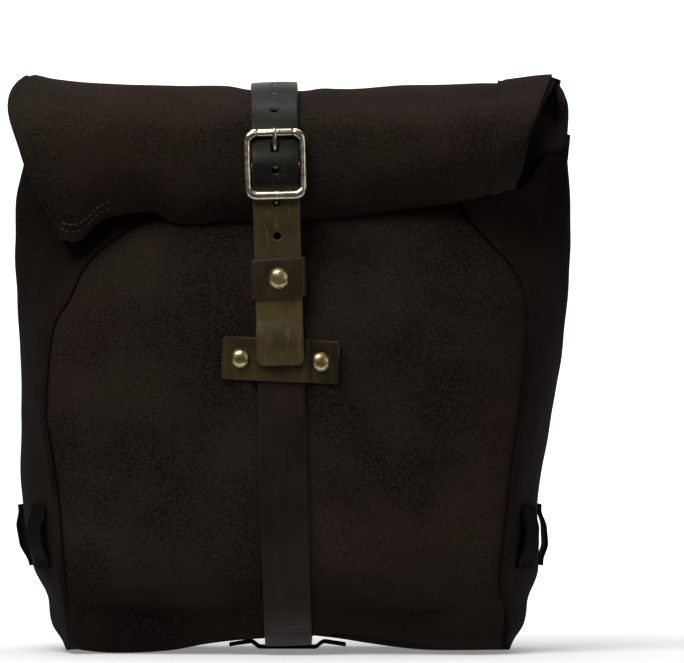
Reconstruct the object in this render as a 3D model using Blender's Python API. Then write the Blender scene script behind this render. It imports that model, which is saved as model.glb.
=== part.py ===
"""Roll-top saddle bag of split leather, closed by one belt with a roller buckle.

Metres, +Z up. The front faces -Y, the back (the side that hangs on a rack) faces +Y.
The origin is at the bottom, in the middle of the whole object.
"""

import math

import bmesh
import bpy
from mathutils import Vector

# Leather shell -------------------------------------------------------------------------------
PANEL = 0.0022              # thickness of the split leather
GAP = 0.0003                # clearance between pieces that touch
BACK_Y = 0.075              # outer face of the back panel
MID_Y = 0.010               # depth at which the gussets are widest
CORNER = 0.018              # radius of the bottom edges
MOUTH_Z = 0.274             # top of the front panel
BACK_TOP = 0.3325           # top of the back panel
ARCH = 0.0105               # how far the belt lifts the middle of the bottom
ARCH_REACH = 0.0926          # where the arch has run out and the bottom is flat
BACK_INSET = 0.018          # how far the back seams stand inside the widest line
CROWN = 2.6                 # shape of the front panel's bulge across its width

# (height, half width) of the widest line, of the front seams, and their depths
WIDEST = ((0.0, 0.1405), (0.008, 0.144), (0.017, 0.150), (0.040, 0.1555), (0.055, 0.161), (0.103, 0.1655),
          (0.137, 0.168), (0.193, 0.173), (0.248, 0.1765), (0.304, 0.177), (0.340, 0.177))
FRONT_SEAM = ((0.0, 0.139), (0.043, 0.1395), (0.059, 0.1405), (0.095, 0.1445), (0.123, 0.1475), (0.150, 0.152),
              (0.190, 0.1545), (0.215, 0.150), (0.230, 0.142), (0.248, 0.131), (0.262, 0.119), (0.274, 0.105),
              (0.340, 0.105))
SEAM_Y = ((0.0, -0.056), (0.015, -0.058), (0.060, -0.062), (0.150, -0.066), (0.220, -0.064), (0.274, -0.058),
          (0.340, -0.058))
CROWN_Y = ((0.0, -0.064), (0.020, -0.069), (0.060, -0.081), (0.110, -0.0872), (0.150, -0.0888), (0.208, -0.0885),
           (0.235, -0.084), (0.274, -0.072), (0.340, -0.072))
FRONT_LEVELS = (0.274, 0.262, 0.248, 0.230, 0.208, 0.190, 0.168, 0.146, 0.116, 0.086, 0.060, 0.044, 0.030)
CORNER_STEPS = 5
PANEL_COLUMNS = 12

# Rolled top ----------------------------------------------------------------------------------
ROLL_PROFILE = ((-0.0020, 0.3500), (-0.0080, 0.3300), (-0.0080, 0.3120), (-0.0140, 0.2950), (-0.0260, 0.2830),
                (-0.0450, 0.2770), (-0.0640, 0.2785), (-0.0800, 0.2875), (-0.0905, 0.3030), (-0.0940, 0.3210),
                (-0.0918, 0.3380), (-0.0845, 0.3475), (-0.0690, 0.3558), (-0.0490, 0.3625), (-0.0250, 0.3658),
                (0.0000, 0.3635), (0.0400, 0.3515), (0.0600, 0.3453), (0.0700, 0.3410), (0.0752, 0.3370),
                (0.0765, 0.3337))
ROLL_STEP = 0.0075
ROLL_WALL = 0.005           # the rolled layers of leather, round a hollow core
CORE_BACK = -0.012          # the hollow core ends in front of this depth
ROLL_END_LOW = 0.148        # half length of the roll at its lower edge
ROLL_END_HIGH = 0.178       # half length of the roll at its top
ROLL_HINGE = Vector((0.0, 0.0798, 0.3330))

# Belt ----------------------------------------------------------------------------------------
BELT_WIDTH = 0.030
BELT = 0.0026
BELT_LEAN = 0.026           # the belt leans to the left as it rises, in metres per metre
BELT_FOOT = Vector((0.0006, 0.0, 0.011))
BELT_AIR = 0.0006           # between the belt and the leather behind it
BELT_UNDER = 0.0016         # further clearance under the arched bottom, whose sides fall away
HOLE_PITCH = 0.0215
HOLE_RADIUS = 0.0025
TIP_RADIUS = 0.004
TIP_Z = 0.186
FOLD_Z = 0.208              # where the buckle's strap bends forward
TAIL_HINGE = (-0.0792, 0.3532)      # depth and height at which the belt leaves the roll
# The buckle lies on a plane that leans back as it goes down: u runs down it, w stands out of it.
ROLLER_FOOT = Vector((0.0, -0.0950, 0.3345))
PLANE_TILT = math.radians(2.4)
BAR_U, BAR_W, BAR_RADIUS = 0.021, 0.0052, 0.0019
LOW_BAR_U, LOW_BAR_W = 0.0395, 0.0124
ROLLER_W, ROLLER_RADIUS, ROLLER_BORE, ROLLER_LENGTH = 0.0059, 0.0026, 0.0018, 0.022
AXLE_RADIUS = 0.00145
WIRE = 0.0021
BUCKLE_HALF = 0.0177        # from the middle to the wire at the buckle's side
BUCKLE_CORNER = 0.0048
STRAP_W = 0.0017            # middle of the buckle's strap over the plane
LOOP_W = 0.0046             # middle of the tail below the fold, and of the folded-back end
TAIL_W = 0.0076             # middle of the tail where it lies on the folded-back end
LAP = ((BAR_U, 0.01175), (0.0255, 0.0110), (0.0300, 0.0094), (0.0345, 0.0081), (0.0390, TAIL_W), (0.0460, TAIL_W),
       (0.0540, TAIL_W))
FOLD_END_U = 0.052
FOLD_RIVET_U = 0.0446
SLOT_HALF = 0.0023
KEEPER_U, KEEPER_LENGTH, KEEPER_WALL = 0.0925, 0.025, 0.0021

# Cross patch, rivets -------------------------------------------------------------------------
PATCH_Z, PATCH_HEIGHT, PATCH_HALF, PATCH = 0.1895, 0.0275, 0.0375, 0.0022
PATCH_TURN = 0.045          # the patch is sewn on slightly askew
RIVET_X = 0.0256
RIVET_RADIUS, RIVET_DOME, SHANK = 0.0059, 0.0032, 0.0014
SHANK_HOLE = 0.0018

# Webbing -------------------------------------------------------------------------------------
WEBBING = 0.0016
SIDE_LOOP_LOW, SIDE_LOOP_HIGH = 0.055, 0.095
SIDE_LOOP_GAP = 0.0068
SIDE_LOOP_HALF = 0.0125
BOTTOM_LOOP_HALF = 0.0375
BOTTOM_LOOP_Y, BOTTOM_LOOP_DEPTH = -0.048, 0.030

# Back hardware -------------------------------------------------------------------------------
RAIL = 0.003
RAIL_LIFT = 0.0042          # how far the rails' middle stands off to let the belt pass
RAIL_STEP_IN, RAIL_STEP_OUT = 0.0215, 0.028
TOP_RAIL_Z, TOP_RAIL_HALF, TOP_RAIL_HEIGHT = 0.300, 0.130, 0.024
LOW_RAIL_Z, LOW_RAIL_HALF, LOW_RAIL_HEIGHT = 0.120, 0.062, 0.022
TOP_SCREW_X = (-0.115, -0.045, 0.045, 0.115)
LOW_SCREW_X = (-0.050, 0.050)
SCREW, SCREW_HOLE, SCREW_HEAD = 0.0022, 0.0026, 0.0046
BOARD = 0.003
NUT_RADIUS, NUT_LENGTH = 0.0046, 0.0034
HOOK_X, HOOK_HALF = 0.080, 0.009
HOOK_BACK_Y = 0.1060
LATCH_PIVOT_Y, LATCH_PIVOT_Z = 0.0850, 0.2840
LATCH_PIN, LATCH_BORE = 0.0016, 0.0019


# Helpers -------------------------------------------------------------------------------------
def smooth(points):
    """A function that passes smoothly through (key, value) points."""
    keys = [p[0] for p in points]
    values = [p[1] for p in points]
    last = len(points) - 1
    slopes = []
    for i in range(len(points)):
        a, b = max(0, i - 1), min(last, i + 1)
        slopes.append((values[b] - values[a]) / (keys[b] - keys[a]))

    def value(key):
        key = min(max(key, keys[0]), keys[-1])
        i = 0
        while i < last - 1 and key > keys[i + 1]:
            i += 1
        step = keys[i + 1] - keys[i]
        t = (key - keys[i]) / step
        rise = 3 * t * t - 2 * t ** 3
        bend_a = (t ** 3 - 2 * t * t + t) * step * slopes[i]
        bend_b = (t ** 3 - t * t) * step * slopes[i + 1]
        return values[i] * (1 - rise) + values[i + 1] * rise + bend_a + bend_b

    return value


def smooth_path(points, step):
    """Points about a step apart on a smooth curve through 2D points."""
    chord = [0.0]
    for a, b in zip(points, points[1:]):
        chord.append(chord[-1] + math.dist(a, b))
    first = smooth([(s, p[0]) for s, p in zip(chord, points)])
    second = smooth([(s, p[1]) for s, p in zip(chord, points)])
    count = max(2, round(chord[-1] / step))
    return [(first(chord[-1] * i / count), second(chord[-1] * i / count)) for i in range(count + 1)]


def directions(path):
    """Unit tangents of a 2D path at its points."""
    result = []
    for i in range(len(path)):
        a, b = path[max(0, i - 1)], path[min(len(path) - 1, i + 1)]
        length = math.dist(a, b)
        result.append(((b[0] - a[0]) / length, (b[1] - a[1]) / length))
    return result


def offset(path, distance):
    """A 2D path moved sideways, to the left of its direction for a positive distance."""
    return [(p[0] - d[1] * distance, p[1] + d[0] * distance) for p, d in zip(path, directions(path))]


def lengths(path):
    """Length along a path up to each of its points."""
    total = [0.0]
    for a, b in zip(path, path[1:]):
        total.append(total[-1] + math.dist(a, b))
    return total


def along(path, distance):
    """The point and the direction of a path at a length along it."""
    total = lengths(path)
    i = 0
    while i < len(path) - 2 and total[i + 1] < distance:
        i += 1
    t = (distance - total[i]) / (total[i + 1] - total[i])
    a, b = path[i], path[i + 1]
    span = math.dist(a, b)
    point = (a[0] + (b[0] - a[0]) * t, a[1] + (b[1] - a[1]) * t)
    return point, ((b[0] - a[0]) / span, (b[1] - a[1]) / span)


MATERIALS = {
    "suede": ((0.018, 0.014, 0.012), 0.95, 0.0),
    "belt_leather": ((0.020, 0.018, 0.016), 0.45, 0.0),
    "webbing": ((0.012, 0.012, 0.012), 0.85, 0.0),
    "nickel": ((0.72, 0.68, 0.60), 0.22, 1.0),
    "brass": ((0.50, 0.42, 0.27), 0.30, 1.0),
    "steel": ((0.45, 0.45, 0.46), 0.35, 1.0),
    "aluminium": ((0.10, 0.10, 0.105), 0.45, 0.8),
    "nylon": ((0.015, 0.015, 0.016), 0.50, 0.0),
    "board": ((0.03, 0.03, 0.03), 0.60, 0.0),
    "lining": ((0.045, 0.042, 0.040), 0.80, 0.0),
}


def material(name):
    """The Principled material of that name, made the first time it is asked for."""
    found = bpy.data.materials.get(name)
    if found:
        return found
    colour, roughness, metallic = MATERIALS[name]
    made = bpy.data.materials.new(name)
    made.use_nodes = True
    shader = made.node_tree.nodes["Principled BSDF"]
    shader.inputs["Base Color"].default_value = (*colour, 1.0)
    shader.inputs["Roughness"].default_value = roughness
    shader.inputs["Metallic"].default_value = metallic
    return made


def empty(name, location, parent=None, rotation=(0.0, 0.0, 0.0)):
    """A frame that pieces are placed in."""
    frame = bpy.data.objects.new(name, None)
    bpy.context.scene.collection.objects.link(frame)
    frame.parent = parent
    frame.location = location
    frame.rotation_euler = rotation
    return frame


def solid(name, vertices, faces, finish, parent=None, location=(0.0, 0.0, 0.0), rotation=(0.0, 0.0, 0.0)):
    """An object from vertices and faces, with its faces turned outwards and round parts smooth."""
    mesh = bpy.data.meshes.new(name)
    mesh.from_pydata([tuple(v) for v in vertices], [], faces)
    work = bmesh.new()
    work.from_mesh(mesh)
    bmesh.ops.recalc_face_normals(work, faces=work.faces)
    work.to_mesh(mesh)
    work.free()
    mesh.shade_smooth()
    mesh.set_sharp_from_angle(angle=math.radians(35))
    piece = bpy.data.objects.new(name, mesh)
    bpy.context.scene.collection.objects.link(piece)
    piece.parent = parent
    piece.location = location
    piece.rotation_euler = rotation
    if finish:
        mesh.materials.append(material(finish))
    return piece


def cutter(piece):
    """Marks a piece as a tool that only cuts others."""
    piece.hide_render = True
    piece.display_type = "WIRE"
    return piece


def cut(piece, tool, operation="DIFFERENCE"):
    """Cuts a tool out of a piece, or joins it on."""
    change = piece.modifiers.new(tool.name, "BOOLEAN")
    change.operation = operation
    change.object = tool
    change.solver = "EXACT"


def sheet(name, outer, inner, finish, parent=None):
    """The closed solid between two grids of points."""
    rows, columns = len(outer), len(outer[0])
    count = rows * columns
    vertices = [p for row in outer for p in row] + [p for row in inner for p in row]
    faces = []
    for i in range(rows - 1):
        for j in range(columns - 1):
            a = i * columns + j
            quad = (a, a + 1, a + columns + 1, a + columns)
            faces.append(quad)
            faces.append(tuple(count + k for k in reversed(quad)))
    rim = [j for j in range(columns)]
    rim += [i * columns + columns - 1 for i in range(1, rows)]
    rim += [(rows - 1) * columns + j for j in range(columns - 2, -1, -1)]
    rim += [i * columns for i in range(rows - 2, 0, -1)]
    for a, b in zip(rim, rim[1:] + rim[:1]):
        faces.append((b, a, count + a, count + b))
    return solid(name, vertices, faces, finish, parent)


def prism(name, outline, low, high, finish, parent=None, axis="x", location=(0.0, 0.0, 0.0)):
    """An outline extruded along x from (y, z) points, or along y from (x, z) points."""
    count = len(outline)
    vertices = []
    for at in (low, high):
        for a, b in outline:
            vertices.append((at, a, b) if axis == "x" else (a, at, b))
    faces = [tuple(range(count)), tuple(range(2 * count - 1, count - 1, -1))]
    faces += [(i, (i + 1) % count, count + (i + 1) % count, count + i) for i in range(count)]
    return solid(name, vertices, faces, finish, parent, location)


def turned(name, profile, finish, parent=None, location=(0.0, 0.0, 0.0), axis=(0.0, 0.0, 1.0), sides=16):
    """A round piece from a closed (radius, height) profile, its axis along the given direction."""
    turn = Vector((0.0, 0.0, 1.0)).rotation_difference(Vector(axis)).to_matrix()
    rings = []
    vertices = []
    for radius, height in profile:
        if radius < 1e-7:
            rings.append([len(vertices)] * sides)
            vertices.append(turn @ Vector((0.0, 0.0, height)))
            continue
        rings.append([len(vertices) + k for k in range(sides)])
        for k in range(sides):
            angle = 2 * math.pi * k / sides
            vertices.append(turn @ Vector((radius * math.cos(angle), radius * math.sin(angle), height)))
    faces = []
    pairs = list(zip(rings, rings[1:]))
    if profile[0][0] > 1e-7:
        pairs.append((rings[-1], rings[0]))
    for a, b in pairs:
        for k in range(sides):
            n = (k + 1) % sides
            corner = []
            for v in (a[k], a[n], b[n], b[k]):
                if v not in corner:
                    corner.append(v)
            if len(corner) > 2:
                faces.append(tuple(corner))
    return solid(name, vertices, faces, finish, parent, location)


def rod(name, radius, start, end, finish=None, parent=None, sides=16):
    """A plain round bar between two points."""
    start, end = Vector(start), Vector(end)
    length = (end - start).length
    profile = ((0.0, 0.0), (radius, 0.0), (radius, length), (0.0, length))
    return turned(name, profile, finish, parent, start, end - start, sides)


def ribbon(name, path, width, thickness, finish, parent=None, tip=0.0, location=(0.0, 0.0, 0.0)):
    """A flat strap that follows a (y, z) path, centred on x = 0, with rounded corners at its last end."""
    total = lengths(path)
    stations = [(p, width / 2) for p in path]
    if tip:
        stations = [(p, width / 2) for p, s in zip(path, total) if s < total[-1] - tip - 1e-6]
        for k in range(5):
            angle = math.pi / 2 * k / 4
            point, _ = along(path, total[-1] - tip + tip * math.sin(angle))
            stations.append((point, width / 2 - tip + tip * math.cos(angle)))
    middle = [s[0] for s in stations]
    left, right = offset(middle, thickness / 2), offset(middle, -thickness / 2)
    vertices = []
    for a, b, (_, half) in zip(left, right, stations):
        vertices += [(-half, *a), (half, *a), (half, *b), (-half, *b)]
    count = len(stations)
    faces = [(0, 1, 2, 3), tuple(4 * (count - 1) + k for k in (3, 2, 1, 0))]
    for i in range(count - 1):
        for k in range(4):
            n = (k + 1) % 4
            faces.append((4 * i + k, 4 * i + n, 4 * i + 4 + n, 4 * i + 4 + k))
    return solid(name, vertices, faces, finish, parent, location)


def clear_scene():
    """Removes whatever the scene held."""
    for thing in list(bpy.data.objects):
        bpy.data.objects.remove(thing, do_unlink=True)


# Shape of the leather shell ------------------------------------------------------------------
widest = smooth(WIDEST)
front_seam = smooth(FRONT_SEAM)
seam_y = smooth(SEAM_Y)
crown_y = smooth(CROWN_Y)


def floor_z(x):
    """Height of the bottom's outer face: arched where the belt lifts it, flat beside that."""
    if abs(x) > ARCH_REACH:
        return 0.0
    return ARCH * 0.5 * (1 + math.cos(math.pi * x / ARCH_REACH))


def front_y(x, z):
    """Depth of the front panel's outer face."""
    across = min(1.0, abs(x) / front_seam(z))
    return seam_y(z) + (crown_y(z) - seam_y(z)) * (1 - across ** CROWN)


def corner_angles():
    return [math.pi / 2 * k / CORNER_STEPS for k in range(CORNER_STEPS + 1)]


def gusset_section(z, s):
    """Half width and depth of a gusset's outer face: s runs from 0 at the front seam to 1 at the back."""
    inner = CORNER - PANEL - GAP
    if z < CORNER:
        sunk = math.sqrt(max(0.0, inner ** 2 - (CORNER - z) ** 2))
        start = seam_y(CORNER) + CORNER - sunk
        end = BACK_Y - CORNER + sunk
    else:
        start = seam_y(z) + PANEL + GAP
        end = BACK_Y - PANEL - GAP
    wide, front = widest(z), front_seam(z)
    if s < 0.5:
        t = 2 * s
        return front + (wide - front) * (1 - (1 - t) ** 1.8), start + (MID_Y - start) * t
    t = 2 * s - 1
    return wide - BACK_INSET * t ** 2.2, MID_Y + (end - MID_Y) * t


def gusset_normal(z, s):
    """Inward direction of a gusset's face in plan."""
    step = 0.01
    a, b = gusset_section(z, max(0.0, s - step)), gusset_section(z, min(1.0, s + step))
    length = math.dist(a, b)
    return -(b[1] - a[1]) / length, (b[0] - a[0]) / length


def gusset_top(s):
    """Height of a gusset's upper edge: low under the roll, high behind it."""
    rise = min(1.0, max(0.0, (s - 0.29) / 0.17))
    return MOUTH_Z + (0.322 - MOUTH_Z) * rise * rise * (3 - 2 * rise) + 0.008 * max(0.0, s - 0.5) * 2


# Pieces of the shell -------------------------------------------------------------------------
def front_panel():
    outer, inner = [], []
    columns = PANEL_COLUMNS
    for z in FRONT_LEVELS:
        xs = [front_seam(z) * (2 * j / columns - 1) for j in range(columns + 1)]
        outer.append([(x, front_y(x, z), z) for x in xs])
        inner.append([(x, front_y(x, z) + PANEL, z) for x in xs])
    for angle in corner_angles():
        row_out, row_in = [], []
        for j in range(columns + 1):
            x = front_seam(0.0) * (2 * j / columns - 1)
            centre_z = floor_z(x) + CORNER
            centre_y = front_y(x, centre_z) + CORNER
            for row, radius in ((row_out, CORNER), (row_in, CORNER - PANEL)):
                row.append((x, centre_y - radius * math.cos(angle), centre_z - radius * math.sin(angle)))
        outer.append(row_out)
        inner.append(row_in)
    panel = sheet("front_panel", outer, inner, "suede")
    for side in (-1, 1):
        hole = rod(f"front_panel_hole_{side}", SHANK_HOLE, patch_point(side * RIVET_X, -0.110),
                   patch_point(side * RIVET_X, -0.060))
        cut(panel, cutter(hole))
    return panel


def back_panel():
    columns = 10
    levels = [BACK_TOP - (BACK_TOP - 0.036) * k / 6 for k in range(7)]
    outer, inner = [], []
    for z in levels:
        half = widest(z) - BACK_INSET
        xs = [half * (2 * j / columns - 1) for j in range(columns + 1)]
        outer.append([(x, BACK_Y, z) for x in xs])
        inner.append([(x, BACK_Y - PANEL, z) for x in xs])
    for angle in corner_angles():
        row_out, row_in = [], []
        for j in range(columns + 1):
            x = (widest(0.0) - BACK_INSET) * (2 * j / columns - 1)
            for row, radius in ((row_out, CORNER), (row_in, CORNER - PANEL)):
                row.append((x, BACK_Y - CORNER + radius * math.cos(angle),
                            floor_z(x) + CORNER - radius * math.sin(angle)))
        outer.append(row_out)
        inner.append(row_in)
    panel = sheet("back_panel", outer, inner, "suede")
    drill_back(panel)
    return panel


def drill_back(panel):
    """Cuts the screw holes of the two rails through a panel."""
    for name, height, places in (("top", TOP_RAIL_Z, TOP_SCREW_X), ("low", LOW_RAIL_Z, LOW_SCREW_X)):
        for i, x in enumerate(places):
            hole = rod(f"{panel.name}_{name}_hole_{i}", SCREW_HOLE, (x, BACK_Y - 0.020, height),
                       (x, BACK_Y + 0.020, height), sides=12)
            cut(panel, cutter(hole))


def gusset(name, side):
    columns, rows = 10, 10
    inner_radius = CORNER - PANEL - GAP
    low = [CORNER - inner_radius * math.sin(a) for a in reversed(corner_angles())]
    outer, inner = [], []
    for z in low:
        outer.append([])
        inner.append([])
        for j in range(columns + 1):
            add_gusset_point(outer[-1], inner[-1], side, z, j / columns)
    for i in range(1, rows + 1):
        outer.append([])
        inner.append([])
        for j in range(columns + 1):
            s = j / columns
            z = low[-1] + (gusset_top(s) - low[-1]) * i / rows
            add_gusset_point(outer[-1], inner[-1], side, z, s)
    return sheet(name, outer, inner, "suede")


def add_gusset_point(outer, inner, side, z, s):
    x, y = gusset_section(z, s)
    nx, ny = gusset_normal(z, s)
    outer.append((side * x, y, z))
    inner.append((side * (x + nx * PANEL), min(max(y + ny * PANEL, gusset_section(z, 0.0)[1]),
                                               gusset_section(z, 1.0)[1]), z))


def bottom_panel():
    columns, rows = PANEL_COLUMNS, 6
    low = PANEL + GAP
    outer, inner = [], []
    for i in range(rows + 1):
        s = i / rows
        half, _ = gusset_section(low, s)
        outer.append([])
        inner.append([])
        for j in range(columns + 1):
            x = half * (2 * j / columns - 1)
            along_seam = x * front_seam(0.0) / half
            start = front_y(along_seam, floor_z(along_seam) + CORNER) + CORNER + GAP
            end = BACK_Y - CORNER - GAP
            y = start + (end - start) * s
            outer[-1].append((x, y, floor_z(x)))
            inner[-1].append((x, y, floor_z(x) + PANEL))
    return sheet("bottom_panel", outer, inner, "suede")


def liner():
    """A thin open-topped inner bag."""
    wall, stand_off, count = 0.0012, 0.0062, 7
    levels = [0.0170, 0.0200, 0.045, 0.085, 0.135, 0.190, 0.222, 0.245, 0.262]
    back = BACK_Y - PANEL - GAP - BOARD - NUT_LENGTH - 0.0020

    def ring(z, inset):
        front = front_seam(z) - stand_off - inset - 0.002
        points = []
        for j in range(count):
            x = front * (2 * j / count - 1)
            points.append((x, front_y(x, z) + stand_off + inset))
        sides = []
        for j in range(count):
            s = 0.03 + 0.90 * j / (count - 1)
            x, y = gusset_section(z, s)
            sides.append((x - stand_off - inset, min(y + 0.0055 + inset * (1 - 2 * s), back - inset)))
        points += sides
        points += [(x, back - inset) for x in (0.09, 0.03, -0.03, -0.09)]
        points += [(-x, y) for x, y in reversed(sides)]
        return points

    tighter = 0.010
    rows_out = [ring(max(z, CORNER + 0.001), tighter if i == 0 else 0.0) for i, z in enumerate(levels)]
    rows_in = [ring(max(z, CORNER + 0.001), (tighter if i == 0 else 0.0) + wall) for i, z in enumerate(levels)]
    heights_in = [levels[0] + wall, levels[1] + wall] + levels[2:]
    size = len(rows_out[0])
    vertices = []
    for row, z in zip(rows_out, levels):
        vertices += [(x, y, z) for x, y in row]
    for row, z in zip(rows_in, heights_in):
        vertices += [(x, y, z) for x, y in row]
    rows = len(levels)
    faces = []
    for side in range(2):
        base = side * rows * size
        for i in range(rows - 1):
            for j in range(size):
                n = (j + 1) % size
                faces.append((base + i * size + j, base + i * size + n, base + (i + 1) * size + n,
                              base + (i + 1) * size + j))
        faces.append(tuple(base + j for j in range(size)))
    top_out, top_in = (rows - 1) * size, (2 * rows - 1) * size
    for j in range(size):
        n = (j + 1) % size
        faces.append((top_out + j, top_out + n, top_in + n, top_in + j))
    return solid("liner", vertices, faces, "lining")


def back_board():
    """A stiff sheet between the back panel and the liner, which the rails are bolted to."""
    radius, half, low, high = 0.012, 0.124, 0.036, 0.322
    outline = rounded_box(-half, half, low, high, radius, 4)
    front = BACK_Y - PANEL - GAP - BOARD
    board = prism("back_board", outline, front, front + BOARD, "board", axis="y")
    drill_back(board)
    return board


def rounded_box(left, right, low, high, radius, steps):
    """Outline of a box with round corners."""
    points = []
    corners = ((right - radius, high - radius), (left + radius, high - radius),
               (left + radius, low + radius), (right - radius, low + radius))
    for quarter, (a, b) in enumerate(corners):
        for k in range(steps + 1):
            angle = math.pi / 2 * (quarter + k / steps)
            points.append((a + radius * math.cos(angle), b + radius * math.sin(angle)))
    return points


def roll_profile():
    """Outline of the rolled top and of the collar behind it, seen from the side."""
    return smooth_path(ROLL_PROFILE, ROLL_STEP)


def roll_end(z):
    """Half length of the roll, whose ends slant outwards as they rise."""
    return ROLL_END_LOW + (ROLL_END_HIGH - ROLL_END_LOW) * (z - 0.277) / 0.0885


def roll_top():
    outline = roll_profile()
    count = len(outline)
    vertices = [(-roll_end(z), y, z) for y, z in outline] + [(roll_end(z), y, z) for y, z in outline]
    vertices = [(x, y - ROLL_HINGE.y, z - ROLL_HINGE.z) for x, y, z in vertices]
    faces = [tuple(range(count)), tuple(range(2 * count - 1, count - 1, -1))]
    faces += [(i, (i + 1) % count, count + (i + 1) % count, count + i) for i in range(count)]
    roll = solid("roll_top", vertices, faces, "suede", location=ROLL_HINGE)
    core = [p for p in offset(outline, -ROLL_WALL)[1:] if p[0] < CORE_BACK]
    cut(roll, cutter(prism("roll_top_core", core, -0.2, 0.2, None)))
    return roll


# Belt ----------------------------------------------------------------------------------------
def on_plane(u, w):
    """(y, z) of a point of the buckle's plane, u down it and w out of it."""
    y = ROLLER_FOOT.y + u * math.sin(PLANE_TILT) - w * math.cos(PLANE_TILT)
    z = ROLLER_FOOT.z - u * math.cos(PLANE_TILT) - w * math.sin(PLANE_TILT)
    return y, z


STRAP_HINGE = on_plane((ROLLER_FOOT.z - FOLD_Z) / math.cos(PLANE_TILT), STRAP_W + BELT / 2 + 0.00015)


def belt_local(point):
    """A (y, z) point in the leaning frame of the belt."""
    return point[0], point[1] - BELT_FOOT.z


def tail_path():
    """Middle of the belt from its rounded tip up through the buckle and over the roll to the back."""
    on_patch = patch_y(0.0) - PATCH / 2 - GAP - 0.0004 - BELT / 2
    points = [(on_patch, TIP_Z), (on_patch, 0.199), (on_patch, 0.2055)]
    below = ((0.0585, 0.0066), (0.0635, 0.0050), (0.0690, LOOP_W), (0.0760, LOOP_W), (0.0970, LOOP_W),
             (0.1170, LOOP_W))
    points += [on_plane(u, w) for u, w in reversed(LAP + below)]
    points += [on_plane(u, w) for u, w in ((0.0150, 0.0103), (0.0100, 0.0070), (0.0055, 0.0035), (0.0, STRAP_W))]
    over = offset(smooth_path(ROLL_PROFILE, 0.0045), BELT / 2 + BELT_AIR)
    over = over[over.index(min(over)):]
    points += [(-0.0944, 0.3398)] + [p for p in over if p[1] > 0.3455 or p[0] > 0.0][:-1]
    points += [(ROLL_HINGE.y - GAP - BELT / 2, ROLL_HINGE.z + 0.0006)]
    return smooth_path(points, 0.0042)


def split(path, distance):
    """A path up to a length along it, and the rest of it, a little apart."""
    total = lengths(path)
    before = [p for p, s in zip(path, total) if s < distance - GAP]
    after = [p for p, s in zip(path, total) if s > distance + GAP]
    return before + [along(path, distance - GAP / 2)[0]], [along(path, distance + GAP / 2)[0]] + after


def nearest(path, y, z):
    """Length along a path to the point nearest to (y, z)."""
    total = lengths(path)
    samples = [total[-1] * k / 4000 for k in range(4001)]
    return min(samples, key=lambda s: math.dist(along(path, s)[0], (y, z)))


def punch(piece, path, at, radius, stretch=0.0, origin=(0.0, 0.0)):
    """Cuts a round or long hole through a strap, square to it, at a length along its path."""
    point, way = along(path, at)
    normal = (-way[1], way[0])
    sides = 10
    vertices = []
    for end in (-0.004, 0.004):
        for k in range(sides):
            angle = 2 * math.pi * (k + 0.5) / sides
            across = radius * math.cos(angle)
            down = radius * math.sin(angle)
            down += math.copysign(stretch / 2, down)
            y = point[0] + way[0] * down + normal[0] * end - origin[0]
            z = point[1] + way[1] * down + normal[1] * end - origin[1]
            vertices.append((across, y, z))
    faces = [tuple(range(sides)), tuple(range(2 * sides - 1, sides - 1, -1))]
    faces += [(k, (k + 1) % sides, sides + (k + 1) % sides, sides + k) for k in range(sides)]
    hole = solid(f"{piece.name}_hole_{round(at * 1000)}", vertices, faces, None, piece.parent, piece.location)
    cut(piece, cutter(hole))


def upper_belt(line):
    """The belt's tail, and the stretch that lies over the roll."""
    path = [belt_local(p) for p in tail_path()]
    visible_hole = nearest(path, *belt_local(on_plane(0.0235, 0.0117)))
    prong_hole = nearest(path, *belt_local(on_plane(0.0095, 0.0068)))
    bend = nearest(path, *belt_local(TAIL_HINGE))
    tail, over = split(path, bend)
    hinge = belt_local(TAIL_HINGE)
    tail = [(y - hinge[0], z - hinge[1]) for y, z in tail]
    strap_tail = ribbon("strap_tail", list(reversed(tail)), BELT_WIDTH, BELT, "belt_leather", line, TIP_RADIUS,
                        (0.0, hinge[0], hinge[1]))
    strap_over = ribbon("strap_over", over, BELT_WIDTH, BELT, "belt_leather", line)
    for k in (-2, -1, 0, 2, 3, 4):
        at = visible_hole + k * HOLE_PITCH
        if at < bend:
            punch(strap_tail, path, at, HOLE_RADIUS, origin=hinge)
        else:
            punch(strap_over, path, at, HOLE_RADIUS)
    punch(strap_tail, path, prong_hole, HOLE_RADIUS, stretch=0.0046, origin=hinge)


def belt_main(line):
    """The belt from the cross patch down the front, under the bag and up its back."""
    stand = BELT / 2 + BELT_AIR
    rise = floor_z(0.0) + CORNER
    points = [on_plane((ROLLER_FOOT.z - FOLD_Z + GAP) / math.cos(PLANE_TILT), STRAP_W)]
    points += [(front_y(0.0, z) - stand, z) for z in FRONT_LEVELS if rise + 0.004 < z < 0.195]
    low = rise - CORNER - stand - BELT_UNDER
    for centre_y, turn in ((front_y(0.0, rise) + CORNER, -1), (BACK_Y - CORNER, 1)):
        corner = []
        for angle in corner_angles():
            fall = (CORNER + stand + BELT_UNDER) * math.sin(angle)
            corner.append((centre_y + turn * (CORNER + stand) * math.cos(angle), rise - fall))
        if turn < 0:
            points += corner + [(y, low) for y in (-0.025, 0.0, 0.025, 0.045)]
        else:
            points += reversed(corner)
    points += [(BACK_Y + stand - 0.0002, z) for z in (0.060, 0.100, 0.140, 0.180, 0.220, 0.260, 0.300, 0.315)]
    points += [(ROLL_HINGE.y - GAP - BELT / 2 - 0.0004, 0.325), (ROLL_HINGE.y - GAP - BELT / 2, 0.3325)]
    return ribbon("belt_main", [belt_local(p) for p in points], BELT_WIDTH, BELT, "belt_leather", line)


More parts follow.
